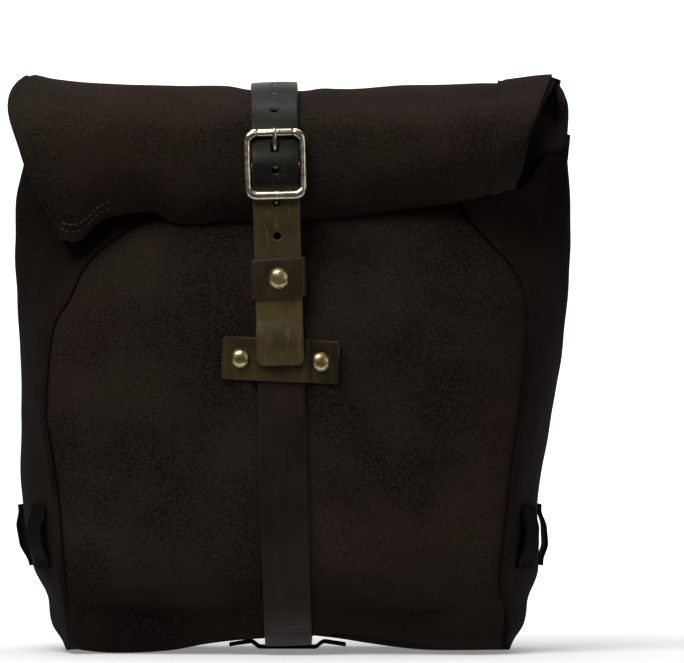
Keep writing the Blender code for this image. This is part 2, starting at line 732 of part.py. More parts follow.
def buckle_end(line):
    """The strap that carries the buckle: it wraps the centre bar and comes back on itself."""
    wrap = BAR_RADIUS + GAP + BELT / 2
    bottom = (ROLLER_FOOT.z - FOLD_Z - GAP) / math.cos(PLANE_TILT)
    path = [(bottom, STRAP_W), (0.105, STRAP_W), (0.080, STRAP_W), (0.055, STRAP_W), (0.040, STRAP_W),
            (0.028, STRAP_W)]
    for k in range(11):
        angle = math.pi * k / 10
        path.append((BAR_U - wrap * math.sin(angle), BAR_W - wrap * math.cos(angle)))
    under = offset(smooth_path(LAP, 0.004), -BELT - GAP - 0.00005)
    path += [p for p in under if BAR_U + 0.003 < p[0] < FOLD_END_U - 0.002] + [(FOLD_END_U, LOOP_W)]
    hinge = belt_local(STRAP_HINGE)
    points = [belt_local(on_plane(u, w)) for u, w in path]
    points = [(y - hinge[0], z - hinge[1]) for y, z in points]
    strap = ribbon("belt_buckle_end", points, BELT_WIDTH, BELT, "belt_leather", line, 0.0, (0.0, *hinge))
    slot_corners = [on_plane(u, w) for u, w in ((0.0125, -0.002), (0.0258, -0.002), (0.0258, 0.0125),
                                                (0.0125, 0.0125))]
    slot = prism("belt_buckle_end_slot", [belt_local(p) for p in slot_corners], -SLOT_HALF, SLOT_HALF, None, line)
    cut(strap, cutter(slot))
    hole = rod("belt_buckle_end_hole", SHANK_HOLE - 0.0002, at_belt(FOLD_RIVET_U, -0.004),
               at_belt(FOLD_RIVET_U, 0.0075), None, line, 12)
    cut(strap, cutter(hole))
    return strap


def at_belt(u, w, x=0.0):
    """A point of the buckle's plane in the belt's leaning frame."""
    y, z = belt_local(on_plane(u, w))
    return Vector((x, y, z))


def outward():
    """Direction out of the buckle's plane, in the belt's frame."""
    return Vector((0.0, -math.cos(PLANE_TILT), -math.sin(PLANE_TILT)))


def buckle_frame(line):
    """A rounded wire frame with thick shoulders, a thin top bar for the roller, and a centre bar set back."""
    bar = at_belt(BAR_U, BAR_W)
    height = LOW_BAR_U
    lift = (LOW_BAR_W - ROLLER_W) / height
    route = rounded_box(-BUCKLE_HALF, BUCKLE_HALF, 0.0, height, BUCKLE_CORNER, 4)
    axle = ROLLER_LENGTH / 2 + 0.0003
    stations = []
    for a, b in zip(route, route[1:] + route[:1]):
        stations.append(a)
        if math.dist(a, b) > 0.012 and a[1] < 1e-4:
            stations += [(-axle - 0.0006, 0.0), (-axle, 0.0), (0.0, 0.0), (axle, 0.0), (axle + 0.0006, 0.0)]
        elif math.dist(a, b) > 0.012:
            stations += [(a[0] + (b[0] - a[0]) * k / 4, a[1] + (b[1] - a[1]) * k / 4) for k in (1, 2, 3)]
    sides = 12
    vertices = []
    total = len(stations)
    for i, (x, u) in enumerate(stations):
        ahead, behind = stations[(i + 1) % total], stations[i - 1]
        tangent = at_belt(ahead[1], 0.0, ahead[0]) - at_belt(behind[1], 0.0, behind[0])
        tangent += outward() * lift * (ahead[1] - behind[1])
        tangent.normalize()
        side = tangent.cross(outward()).normalized()
        up = side.cross(tangent).normalized()
        radius, tall = WIRE, 1.0
        if u < 1e-4:
            radius = AXLE_RADIUS if abs(x) < axle + 0.0001 else 0.0026
        elif u > height - 1e-4:
            tall = 1.28
        elif u < BUCKLE_CORNER:
            radius = 0.0025
        centre = at_belt(u, ROLLER_W + lift * u, x) - bar
        for k in range(sides):
            angle = 2 * math.pi * k / sides
            vertices.append(centre + side * radius * tall * math.cos(angle) + up * radius * math.sin(angle))
    faces = []
    for i in range(total):
        for k in range(sides):
            n = (k + 1) % sides
            j = (i + 1) % total
            faces.append((i * sides + k, i * sides + n, j * sides + n, j * sides + k))
    frame = solid("buckle_frame", vertices, faces, "nickel", line, bar)
    centre_bar = rod("buckle_frame_bar", BAR_RADIUS, bar - Vector((BUCKLE_HALF + 0.0006, 0.0, 0.0)),
                     bar + Vector((BUCKLE_HALF + 0.0006, 0.0, 0.0)), "nickel", line, 12)
    cut(frame, cutter(centre_bar), "UNION")
    for side in (-1, 1):
        foot = bar + Vector((side * BUCKLE_HALF, 0.0, 0.0)) - outward() * 0.0007
        lug = rod(f"buckle_frame_lug_{side}", 0.0016, foot, foot + outward() * 0.0052, "nickel", line, 12)
        cut(frame, cutter(lug), "UNION")
    return frame


def buckle_roller(line):
    half = ROLLER_LENGTH / 2
    profile = ((ROLLER_BORE, -half), (ROLLER_RADIUS - 0.0003, -half), (ROLLER_RADIUS, -half + 0.0003),
               (ROLLER_RADIUS, half - 0.0003), (ROLLER_RADIUS - 0.0003, half), (ROLLER_BORE, half))
    return turned("buckle_roller", profile, "nickel", line, at_belt(0.0, ROLLER_W), (1.0, 0.0, 0.0), 16)


def buckle_prong(line):
    """A round prong: a ring about the centre bar, and a finger whose tip lies on the roller."""
    bar = at_belt(BAR_U, BAR_W)
    thick = 0.00165
    ring_middle = BAR_RADIUS + GAP + 0.0007
    ring = turned("buckle_prong", ((ring_middle - 0.0007, -thick), (ring_middle + 0.0007, -thick),
                                   (ring_middle + 0.0007, thick), (ring_middle - 0.0007, thick)),
                  "nickel", line, bar, (1.0, 0.0, 0.0), 20)
    route = ((BAR_U - ring_middle - 0.0002, 0.0054, 0.00135), (0.0155, 0.0060, 0.0014), (0.0120, 0.0072, 0.0014),
             (0.0080, 0.0093, 0.0014), (0.0040, 0.0103, 0.0014), (0.0010, 0.0103, 0.0013), (-0.0020, 0.0099, 0.0010),
             (-0.0036, 0.0094, 0.0006))
    sides = 10
    vertices = []
    for u, w, radius in route:
        centre = at_belt(u, w)
        down = at_belt(u + 0.001, w) - centre
        for k in range(sides):
            angle = 2 * math.pi * k / sides
            vertices.append(centre + Vector((1.0, 0.0, 0.0)) * radius * math.cos(angle)
                            + (outward() + down.normalized() * 0.2).normalized() * radius * math.sin(angle))
    faces = [tuple(range(sides)), tuple(len(vertices) - 1 - k for k in range(sides))]
    for i in range(len(route) - 1):
        for k in range(sides):
            n = (k + 1) % sides
            faces.append((i * sides + k, i * sides + n, (i + 1) * sides + n, (i + 1) * sides + k))
    finger = solid("buckle_prong_finger", vertices, faces, "nickel", line)
    cut(ring, cutter(finger), "UNION")
    return ring


def keeper(line):
    """A leather loop that slides along the belt and holds its tail down."""
    low, high = STRAP_W - BELT / 2 - GAP, LOOP_W + BELT / 2 + GAP
    half = BELT_WIDTH / 2 + 0.0004
    outline_in = rounded_box(-half, half, low, high, 0.0008, 3)
    outline_out = rounded_box(-half - KEEPER_WALL, half + KEEPER_WALL, low - KEEPER_WALL, high + KEEPER_WALL,
                              0.0026, 3)
    origin = at_belt(KEEPER_U, LOOP_W)
    vertices = []
    for outline in (outline_out, outline_in):
        for end in (-0.5, 0.5):
            for x, w in outline:
                vertices.append(at_belt(KEEPER_U + end * KEEPER_LENGTH, w, x) - origin)
    n = len(outline_in)
    faces = []
    for k in range(n):
        m = (k + 1) % n
        faces.append((k, m, n + m, n + k))
        faces.append((2 * n + k, 2 * n + m, 3 * n + m, 3 * n + k))
        faces.append((k, m, 2 * n + m, 2 * n + k))
        faces.append((n + k, n + m, 3 * n + m, 3 * n + k))
    loop = solid("keeper", vertices, faces, "belt_leather", line, origin)
    hole = rod("keeper_hole", SHANK_HOLE, at_belt(KEEPER_U, LOOP_W), at_belt(KEEPER_U, 0.012), None, line, 12)
    cut(loop, cutter(hole))
    top = high + KEEPER_WALL
    rivet("keeper_rivet", line, at_belt(KEEPER_U, top + 0.0001), outward(), KEEPER_WALL - GAP)
    return loop


def rivet(name, parent, seat, way, length, radius=RIVET_RADIUS, dome=RIVET_DOME, shank=SHANK):
    """A domed rivet head with its shank, standing on its seat."""
    profile = [(0.0, -length), (shank, -length), (shank, 0.0), (radius, 0.0)]
    for k in range(1, 5):
        angle = math.pi / 2 * k / 5
        profile.append((radius * math.cos(angle), 0.0004 + (dome - 0.0004) * math.sin(angle)))
    profile.append((0.0, dome))
    return turned(name, profile, "brass", parent, seat, way, 16)


def fold_rivet(line):
    """A small rivet through the folded end; its head sits in a hole of the tail."""
    seat, way = at_belt(FOLD_RIVET_U, 0.0), outward()
    profile = ((0.0, -0.0009), (0.0026, -0.0009), (0.0026, 0.0001), (0.0013, 0.0001), (0.0013, 0.0062),
               (0.0019, 0.0062), (0.0016, 0.0070), (0.0, 0.0074))
    return turned("fold_rivet", profile, "brass", line, seat, way, 12)


# Cross patch ---------------------------------------------------------------------------------
def patch_point(x, y, up=0.0):
    """A point in the patch's own slightly turned frame, in world coordinates."""
    centre_x = BELT_FOOT.x - BELT_LEAN * (PATCH_Z - BELT_FOOT.z)
    return Vector((centre_x + x * math.cos(PATCH_TURN) + up * math.sin(PATCH_TURN), y,
                   PATCH_Z - x * math.sin(PATCH_TURN) + up * math.cos(PATCH_TURN)))


def patch_y(x):
    """Depth of the patch's middle layer: low beside the belt, raised over it."""
    half = PATCH_HEIGHT / 2 + 0.002
    foremost = min(crown_y(PATCH_Z + half * k / 8) for k in range(-8, 9))
    beside = foremost - 0.0005 - PATCH / 2
    over = foremost - BELT_AIR - BELT - 0.0005 - PATCH / 2
    t = min(1.0, max(0.0, (abs(x) - 0.0166) / 0.0030))
    return over + (beside - over) * t * t * (3 - 2 * t)


def cross_patch():
    xs = [-PATCH_HALF, -0.0196, -0.0189, -0.0181, -0.0173, -0.0166]
    xs = xs + [0.0] + [-x for x in reversed(xs)]
    path = [(x, patch_y(x)) for x in xs]
    front, back = offset(path, -PATCH / 2), offset(path, PATCH / 2)
    outer, inner = [], []
    for up in (-PATCH_HEIGHT / 2, 0.0, PATCH_HEIGHT / 2):
        outer.append([patch_point(x, y, up) for x, y in front])
        inner.append([patch_point(x, y, up) for x, y in back])
    patch = sheet("cross_patch", outer, inner, "belt_leather")
    for name, side in (("left", -1), ("right", 1)):
        hole = rod(f"cross_patch_hole_{name}", SHANK_HOLE, patch_point(side * RIVET_X, -0.110),
                   patch_point(side * RIVET_X, -0.060))
        cut(patch, cutter(hole))
        seat = patch_point(side * RIVET_X, patch_y(RIVET_X) - PATCH / 2 - 0.0004)
        behind = front_y(seat.x, seat.z) + PANEL + 0.0022
        rivet(f"cross_rivet_{name}", None, seat, (0.0, -1.0, 0.0), behind - seat.y)
        burr = ((SHANK + GAP, 0.0), (0.0046, 0.0), (0.0046, 0.0010), (SHANK + GAP, 0.0010))
        place = Vector((seat.x, front_y(seat.x, seat.z) + PANEL + 0.0009, seat.z))
        turned(f"cross_burr_{name}", burr, "brass", None, place, (0.0, 1.0, 0.0), 16)


# Webbing -------------------------------------------------------------------------------------
def bottom_loop():
    """Webbing across the bottom, which the belt runs through."""
    belt_low = floor_z(0.0) - BELT_AIR - BELT_UNDER - BELT
    drop = belt_low - BELT_LEAN * BELT_WIDTH / 2 - 0.0004 - WEBBING / 2
    xs = [-BOTTOM_LOOP_HALF, -0.030, -0.024, -0.020, -0.0175, -0.010]
    xs = xs + [0.0] + [-x for x in reversed(xs)]
    path = []
    for x in xs:
        t = min(1.0, max(0.0, (abs(x) - 0.0175) / 0.0060))
        beside = floor_z(x) - WEBBING / 2 - 0.0005
        path.append((x, drop + (beside - drop) * t * t * (3 - 2 * t)))
    low, high = offset(path, -WEBBING / 2), offset(path, WEBBING / 2)
    outer, inner = [], []
    for y in (BOTTOM_LOOP_Y, BOTTOM_LOOP_Y + BOTTOM_LOOP_DEPTH):
        outer.append([(x, y, z) for x, z in low])
        inner.append([(x, y, z) for x, z in high])
    return sheet("bottom_loop", outer, inner, "webbing")


def side_loop(name, side, s_centre):
    """A vertical webbing loop sewn to a gusset at its two ends."""
    middle = (SIDE_LOOP_LOW + SIDE_LOOP_HIGH) / 2
    base = Vector((*gusset_section(middle, s_centre), 0.0))
    nx, ny = gusset_normal(middle, s_centre)
    out, across = Vector((-nx, -ny, 0.0)), Vector((-ny, nx, 0.0))
    levels = [SIDE_LOOP_LOW, SIDE_LOOP_LOW + 0.004, SIDE_LOOP_LOW + 0.0075, SIDE_LOOP_LOW + 0.011]
    levels = levels + [middle] + [SIDE_LOOP_LOW + SIDE_LOOP_HIGH - z for z in reversed(levels)]
    path = []
    for z in levels:
        end = min(z - SIDE_LOOP_LOW, SIDE_LOOP_HIGH - z)
        t = min(1.0, max(0.0, (end - 0.004) / 0.007))
        worst = max(stand_out(base, out, across, z, k, s_centre) for k in (-1, 0, 1))
        seat = worst + WEBBING / 2 + 0.0004
        level = stand_out(base, out, across, middle, 0, s_centre) + SIDE_LOOP_GAP + WEBBING / 2 + 0.0008
        path.append((z, seat + (level - seat) * t * t * (3 - 2 * t)))
    near, far = offset(path, -WEBBING / 2), offset(path, WEBBING / 2)
    outer, inner = [], []
    for edge in (-SIDE_LOOP_HALF, SIDE_LOOP_HALF):
        for grid, line in ((outer, far), (inner, near)):
            row = []
            for z, height in line:
                point = base + out * height + across * edge
                row.append((side * point.x, point.y, z))
            grid.append(row)
    return sheet(name, outer, inner, "webbing")


def stand_out(base, out, across, z, edge, s_centre):
    """How far a gusset's face stands out at a level, near one edge of a loop."""
    best = -1.0
    for k in range(41):
        x, y = gusset_section(z, min(1.0, max(0.0, s_centre - 0.15 + 0.30 * k / 40)))
        offset_across = (Vector((x, y, 0.0)) - base).dot(across)
        if abs(offset_across - edge * SIDE_LOOP_HALF) < 0.006:
            best = max(best, (Vector((x, y, 0.0)) - base).dot(out))
    return best


def back_loop():
    """A leather keeper on the back panel that the belt runs up behind."""
    height, thick = 0.030, 0.0020
    belt_out = BACK_Y + BELT_AIR + BELT + 0.0004
    centre_z = 0.218
    centre_x = BELT_FOOT.x - BELT_LEAN * (centre_z - BELT_FOOT.z)
    xs = [-0.034, -0.026, -0.0215, -0.0190, -0.0170, -0.010]
    xs = xs + [0.0] + [-x for x in reversed(xs)]
    path = []
    for x in xs:
        t = min(1.0, max(0.0, (abs(x) - 0.0172) / 0.0045))
        raised, flat = belt_out + GAP + thick / 2, BACK_Y + 0.0004 + thick / 2
        path.append((centre_x + x, raised + (flat - raised) * t * t * (3 - 2 * t)))
    near, far = offset(path, -thick / 2), offset(path, thick / 2)
    outer, inner = [], []
    for up in (-height / 2, height / 2):
        outer.append([(x, y, centre_z + up) for x, y in far])
        inner.append([(x, y, centre_z + up) for x, y in near])
    return sheet("back_loop", outer, inner, "belt_leather")


# Back hardware -------------------------------------------------------------------------------
def rail(name, height, half, tall, screws):
    """An aluminium bar on the back panel, raised in its middle over the belt."""
    start = BACK_Y + GAP
    xs = [-half, -RAIL_STEP_OUT, -RAIL_STEP_IN, RAIL_STEP_IN, RAIL_STEP_OUT, half]
    lifts = [0.0, 0.0, RAIL_LIFT, RAIL_LIFT, 0.0, 0.0]
    near = [(x, start + lift) for x, lift in zip(xs, lifts)]
    far = [(x, start + lift + RAIL) for x, lift in zip(xs, lifts)]
    outer = [[(x, y, height + up) for x, y in far] for up in (-tall / 2, tall / 2)]
    inner = [[(x, y, height + up) for x, y in near] for up in (-tall / 2, tall / 2)]
    bar = sheet(name, outer, inner, "aluminium")
    for i, x in enumerate(screws):
        hole = rod(f"{name}_hole_{i}", SCREW_HOLE, (x, BACK_Y - 0.020, height), (x, BACK_Y + 0.020, height),
                   sides=12)
        cut(bar, cutter(hole))
    return bar


def screw(name, x, height):
    """A round-headed screw through a rail, the back panel and the board."""
    seat = BACK_Y + GAP + RAIL + 0.0002
    length = RAIL + GAP + PANEL + GAP + BOARD + NUT_LENGTH
    profile = ((0.0, -length), (SCREW, -length), (SCREW, 0.0), (SCREW_HEAD, 0.0), (SCREW_HEAD * 0.8, 0.0018),
               (0.0015, 0.0026), (0.0015, 0.0014), (0.0, 0.0014))
    return turned(name, profile, "steel", None, (x, seat, height), (0.0, 1.0, 0.0), 12)


def nut(name, x, height):
    """A hexagon nut inside the board."""
    seat = BACK_Y - PANEL - GAP - BOARD - 0.0003
    inner = SCREW + 0.0002
    profile = ((inner, 0.0), (NUT_RADIUS, 0.0), (NUT_RADIUS, NUT_LENGTH - 0.0003), (inner, NUT_LENGTH - 0.0003))
    place = (x, seat, height)
    return hex_nut(name, profile, place)


def hex_nut(name, profile, place):
    """A six-sided ring with a round bore."""
    inner, outer, length = profile[0][0], profile[1][0], profile[2][1]
    steps = 12
    vertices = []
    for depth in (0.0, -length):
        for k in range(steps):
            angle = 2 * math.pi * k / steps
            reach = outer if k % 2 == 0 else outer * math.cos(math.pi / 6)
            vertices.append((reach * math.cos(angle), depth, reach * math.sin(angle)))
        for k in range(steps):
            angle = 2 * math.pi * k / steps
            vertices.append((inner * math.cos(angle), depth, inner * math.sin(angle)))
    faces = []
    for k in range(steps):
        n = (k + 1) % steps
        faces.append((k, n, steps + n, steps + k))
        faces.append((2 * steps + k, 2 * steps + n, 3 * steps + n, 3 * steps + k))
        faces.append((k, n, 2 * steps + n, 2 * steps + k))
        faces.append((steps + k, steps + n, 3 * steps + n, 3 * steps + k))
    return solid(name, vertices, faces, "steel", None, place)


def hook(name, x):
    """A hook that hangs over a rack's tube, moulded in one with its back plate."""
    plate = BACK_Y + GAP + RAIL + GAP
    inner_wall = plate + 0.0055
    ceiling, top = 0.3120, 0.3200
    throat_back = HOOK_BACK_Y - 0.0052
    outline = [(plate, 0.2800), (inner_wall + 0.0020, 0.2800), (inner_wall + 0.0020, 0.2835),
               (inner_wall, 0.2860), (inner_wall, ceiling - 0.0035), (inner_wall + 0.0010, ceiling - 0.0010),
               (inner_wall + 0.0035, ceiling), (throat_back - 0.0035, ceiling),
               (throat_back - 0.0010, ceiling - 0.0010), (throat_back, ceiling - 0.0035), (throat_back, 0.2930),
               (throat_back + 0.0015, 0.2900), (throat_back + 0.0036, 0.2890), (HOOK_BACK_Y, 0.2910),
               (HOOK_BACK_Y, 0.3120), (HOOK_BACK_Y - 0.0018, 0.3165), (HOOK_BACK_Y - 0.0060, top),
               (plate + 0.0040, top), (plate, 0.3180)]
    body = prism(name, outline, x - HOOK_HALF, x + HOOK_HALF, "nylon")
    slot_half = 0.0042
    slot = prism(f"{name}_slot", [(plate + 0.0022, 0.2700), (0.0990, 0.2700), (0.0990, 0.2915),
                                  (plate + 0.0022, 0.2915)], x - slot_half, x + slot_half, None)
    cut(body, cutter(slot))
    return body


def build_hooks():
    """Two hooks on the top rail, each with a sprung latch under the throat."""
    for name, x in (("left", -HOOK_X), ("right", HOOK_X)):
        hook_piece = hook(f"hook_{name}", x)
        pivot = Vector((x, LATCH_PIVOT_Y, LATCH_PIVOT_Z))
        pin_hole = rod(f"hook_{name}_pin_hole", LATCH_PIN + 0.0003, pivot - Vector((0.020, 0.0, 0.0)),
                       pivot + Vector((0.020, 0.0, 0.0)), sides=12)
        cut(hook_piece, cutter(pin_hole))
        reach = HOOK_HALF - 0.0004
        rod(f"latch_pin_{name}", LATCH_PIN, pivot - Vector((reach, 0.0, 0.0)), pivot + Vector((reach, 0.0, 0.0)),
            "steel", sides=12)
        latch(f"latch_{name}", pivot)


def latch(name, pivot):
    """A short lever that closes the hook's throat from below."""
    outline = [(-0.0024, -0.0010), (-0.0018, -0.0026), (0.0, -0.0034), (0.0040, -0.0036), (0.0110, -0.0030),
               (0.0150, -0.0010), (0.0152, 0.0008), (0.0110, 0.0030), (0.0030, 0.0036), (0.0, 0.0034),
               (-0.0018, 0.0026), (-0.0024, 0.0010)]
    lever = prism(name, outline, -0.0038, 0.0038, "nylon", location=pivot)
    bore = rod(f"{name}_bore", LATCH_BORE, pivot - Vector((0.010, 0.0, 0.0)), pivot + Vector((0.010, 0.0, 0.0)),
               sides=12)
    cut(lever, cutter(bore))
    return lever


def lower_hook():
    """A hook low on the back that catches a stay of the rack; it swings about its bolt."""
    rail_face = BACK_Y + GAP + RAIL_LIFT + RAIL
    near, far = rail_face + 0.0008, rail_face + 0.0048
    pivot = Vector((0.0, 0.0, LOW_RAIL_Z))
    eye = [(0.0085 * math.cos(a), 0.0085 * math.sin(a)) for a in [math.pi * k / 8 for k in range(9)]]
    arm = [(-0.0085, -0.030), (-0.0075, -0.0385), (-0.0030, -0.0450), (0.0050, -0.0480), (0.0150, -0.0470),
           (0.0215, -0.0420), (0.0235, -0.0340), (0.0235, -0.0240), (0.0175, -0.0240), (0.0175, -0.0325),
           (0.0160, -0.0370), (0.0110, -0.0400), (0.0050, -0.0395), (0.0015, -0.0350), (0.0012, -0.0290),
           (0.0085, -0.0100)]
    piece = prism("lower_hook", eye + arm, near, far, "nylon", location=pivot, axis="y")
    bore = rod("lower_hook_bore", 0.0029, (0.0, near - 0.010, LOW_RAIL_Z), (0.0, far + 0.010, LOW_RAIL_Z))
    cut(piece, cutter(bore))
    profile = ((0.0, -0.0006), (0.0026, -0.0006), (0.0026, far - near + 0.0006), (0.0058, far - near + 0.0006),
               (0.0058, far - near + 0.0022), (0.0050, far - near + 0.0030), (0.0, far - near + 0.0030))
    turned("lower_hook_bolt", profile, "steel", None, (0.0, near, LOW_RAIL_Z), (0.0, 1.0, 0.0), 16)


def build():
    clear_scene()
    front_panel()
    back_panel()
    gusset("left_gusset", -1)
    gusset("right_gusset", 1)
    bottom_panel()
    liner()
    back_board()
    roll_top()
    line = empty("belt_line", BELT_FOOT, None, (0.0, -math.atan(BELT_LEAN), 0.0))
    belt_main(line)
    buckle_end(line)
    upper_belt(line)
    buckle_frame(line)
    buckle_roller(line)
    buckle_prong(line)
    keeper(line)
    fold_rivet(line)
    cross_patch()
    bottom_loop()
    for name, side in (("left", -1), ("right", 1)):
        side_loop(f"side_loop_{name}_front", side, 0.16)
        side_loop(f"side_loop_{name}_rear", side, 0.62)
    back_loop()
    rail("top_rail", TOP_RAIL_Z, TOP_RAIL_HALF, TOP_RAIL_HEIGHT, TOP_SCREW_X)
    rail("lower_rail", LOW_RAIL_Z, LOW_RAIL_HALF, LOW_RAIL_HEIGHT, LOW_SCREW_X)
    for kind, height, places in (("top", TOP_RAIL_Z, TOP_SCREW_X), ("lower", LOW_RAIL_Z, LOW_SCREW_X)):
        for i, x in enumerate(places):
            screw(f"{kind}_screw_{i + 1}", x, height)
            nut(f"{kind}_nut_{i + 1}", x, height)
    build_hooks()
    lower_hook()


build()
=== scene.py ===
"""Roll-top saddle bag of split leather: the visible model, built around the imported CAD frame.

Metres, +Z up, the front faces -Y. Every leather, webbing and lining piece, the buckle and the rivet
caps replace their CAD solids. The board, rails, screws, nuts, burrs, hooks and latches keep theirs,
with better finishes.
"""
import math

import bmesh
import bpy
from mathutils import Matrix, Vector, noise


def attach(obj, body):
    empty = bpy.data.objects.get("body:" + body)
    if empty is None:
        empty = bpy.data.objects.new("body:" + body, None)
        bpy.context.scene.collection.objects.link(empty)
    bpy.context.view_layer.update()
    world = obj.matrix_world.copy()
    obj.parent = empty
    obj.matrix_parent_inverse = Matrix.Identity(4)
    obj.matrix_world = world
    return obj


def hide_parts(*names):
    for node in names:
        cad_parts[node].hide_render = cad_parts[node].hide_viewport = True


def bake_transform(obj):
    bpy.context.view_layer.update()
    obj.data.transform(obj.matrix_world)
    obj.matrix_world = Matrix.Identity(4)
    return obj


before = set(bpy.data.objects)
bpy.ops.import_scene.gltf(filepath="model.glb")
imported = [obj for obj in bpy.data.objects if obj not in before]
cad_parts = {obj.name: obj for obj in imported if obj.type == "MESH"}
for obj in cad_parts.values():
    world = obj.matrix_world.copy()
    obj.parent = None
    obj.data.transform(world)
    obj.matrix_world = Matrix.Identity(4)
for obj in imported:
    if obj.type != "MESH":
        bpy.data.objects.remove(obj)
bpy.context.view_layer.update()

SCENE = bpy.context.scene

# Shape of the bag, as in the CAD source ------------------------------------------------------
PANEL, GAP = 0.0022, 0.0003
BACK_Y, MID_Y, CORNER = 0.075, 0.010, 0.018
MOUTH_Z, BACK_TOP, BACK_INSET, CROWN = 0.274, 0.3325, 0.018, 2.6
ARCH, ARCH_REACH = 0.0105, 0.0926
CORNER_TOP = 0.029
ROLL_HINGE = Vector((0.0, 0.0798, 0.3330))
ROLL_MIDDLE = (0.0, -0.048, 0.320)
ROLL_LOWEST, ROLL_HIGHEST = 0.2785, 0.3658
WIDEST = ((0.0, 0.1405), (0.008, 0.144), (0.017, 0.150), (0.040, 0.1555), (0.055, 0.161), (0.103, 0.1655),
          (0.137, 0.168), (0.193, 0.173), (0.248, 0.1765), (0.304, 0.177), (0.370, 0.177))
SEAM_Y = ((0.0, -0.056), (0.015, -0.058), (0.060, -0.062), (0.150, -0.066), (0.220, -0.064), (0.274, -0.058),
          (0.340, -0.058))
CROWN_Y = ((0.0, -0.064), (0.020, -0.069), (0.060, -0.081), (0.110, -0.0872), (0.150, -0.0888),
           (0.208, -0.0885), (0.235, -0.084), (0.274, -0.072), (0.340, -0.072))
ROLL_PROFILE = ((-0.0020, 0.3500), (-0.0080, 0.3300), (-0.0080, 0.3120), (-0.0140, 0.2950), (-0.0260, 0.2830),
                (-0.0450, 0.2770), (-0.0640, 0.2785), (-0.0800, 0.2875), (-0.0905, 0.3030), (-0.0940, 0.3210),
                (-0.0918, 0.3380), (-0.0845, 0.3475), (-0.0690, 0.3558), (-0.0490, 0.3625), (-0.0250, 0.3658),
                (0.0000, 0.3635), (0.0400, 0.3515), (0.0600, 0.3453), (0.0700, 0.3410), (0.0752, 0.3370),
                (0.0765, 0.3337))

# What the soft bag does beyond the CAD's even shape: seams, edges and a drift to one side ------
LEFT_SEAM = ((0.0, 0.139), (0.030, 0.142), (0.045, 0.144), (0.064, 0.146), (0.095, 0.148), (0.137, 0.154),
             (0.152, 0.157), (0.198, 0.154), (0.215, 0.150), (0.229, 0.141), (0.248, 0.132), (0.262, 0.119),
             (0.274, 0.102), (0.286, 0.086), (0.300, 0.080))
RIGHT_SEAM = ((0.0, 0.140), (0.017, 0.143), (0.042, 0.138), (0.059, 0.139), (0.095, 0.143), (0.123, 0.146),
              (0.165, 0.152), (0.193, 0.155), (0.223, 0.155), (0.240, 0.151), (0.254, 0.142), (0.268, 0.128),
              (0.279, 0.119), (0.290, 0.112))
DRIFT = ((0.0, 0.0), (0.040, 0.0), (0.055, -0.0013), (0.103, -0.005), (0.137, -0.0022), (0.193, 0.0013),
         (0.248, 0.0032), (0.370, 0.0032))
FRONT_FLOOR = ((-0.150, 0.0085), (-0.144, 0.0055), (-0.133, 0.0018), (-0.111, 0.0), (-0.077, 0.0018),
               (-0.052, 0.0062), (-0.020, 0.0098), (0.0, 0.0107), (0.034, 0.0125), (0.067, 0.0105),
               (0.095, 0.0058), (0.123, 0.0040), (0.136, 0.0055), (0.150, 0.0100))
ROLL_LOW = ((-0.182, 0.2690), (-0.152, 0.2690), (-0.142, 0.2650), (-0.132, 0.2675), (-0.124, 0.2755),
            (-0.116, 0.2812), (-0.086, 0.2840), (-0.072, 0.2750), (-0.027, 0.2745), (0.011, 0.2760),
            (0.067, 0.2840), (0.109, 0.2910), (0.131, 0.2970), (0.143, 0.3030), (0.154, 0.3075),
            (0.182, 0.3100))
ROLL_HIGH = ((-0.182, 0.3738), (-0.172, 0.3745), (-0.150, 0.3702), (-0.110, 0.3688), (-0.072, 0.3680),
             (-0.040, 0.3670), (-0.024, 0.3654), (-0.0075, 0.3648), (0.009, 0.3648), (0.024, 0.3646),
             (0.040, 0.3650), (0.076, 0.3675), (0.136, 0.3682), (0.151, 0.3688), (0.172, 0.3702),
             (0.182, 0.3702))
LEFT_END = ((0.260, 0.1450), (0.269, 0.1470), (0.293, 0.1580), (0.309, 0.1660), (0.327, 0.1720),
            (0.348, 0.1785), (0.360, 0.1780), (0.367, 0.1745), (0.374, 0.1690))
RIGHT_END = ((0.260, 0.1440), (0.297, 0.1470), (0.304, 0.1480), (0.312, 0.1510), (0.332, 0.1550),
             (0.351, 0.1620), (0.372, 0.1740))
EAR_SEAM = ((0.280, 0.1300), (0.297, 0.1310), (0.363, 0.1360), (0.372, 0.1380))

# Belt and buckle, as in the CAD source -------------------------------------------------------
BELT_WIDTH, BELT, BELT_LEAN, BELT_AIR, BELT_UNDER = 0.030, 0.0026, 0.026, 0.0006, 0.0016
BELT_FOOT = Vector((0.0006, 0.0, 0.011))
HOLE_PITCH, HOLE_RADIUS = 0.0215, 0.0025
TIP_RADIUS, TIP_Z, FOLD_Z = 0.004, 0.186, 0.208
ROLLER_FOOT, PLANE_TILT = Vector((0.0, -0.0950, 0.3345)), math.radians(2.4)
BAR_U, BAR_W, BAR_RADIUS = 0.021, 0.0052, 0.0019
LOW_BAR_U, LOW_BAR_W = 0.0395, 0.0124
ROLLER_W, ROLLER_LENGTH, AXLE_RADIUS = 0.0059, 0.022, 0.00145
WIRE, BUCKLE_HALF, BUCKLE_CORNER = 0.0023, 0.0177, 0.0058
STRAP_W, LOOP_W, TAIL_W = 0.0017, 0.0046, 0.0076
LAP = ((BAR_U, 0.01175), (0.0255, 0.0110), (0.0300, 0.0094), (0.0345, 0.0081), (0.0390, TAIL_W),
       (0.0460, TAIL_W), (0.0540, TAIL_W))
FOLD_END_U, FOLD_RIVET_U = 0.052, 0.0446
KEEPER_U, KEEPER_LENGTH, KEEPER_WALL = 0.0925, 0.025, 0.0021
PATCH_Z, PATCH_HEIGHT, PATCH_HALF, PATCH, PATCH_TURN = 0.1895, 0.0275, 0.0375, 0.0022, 0.045
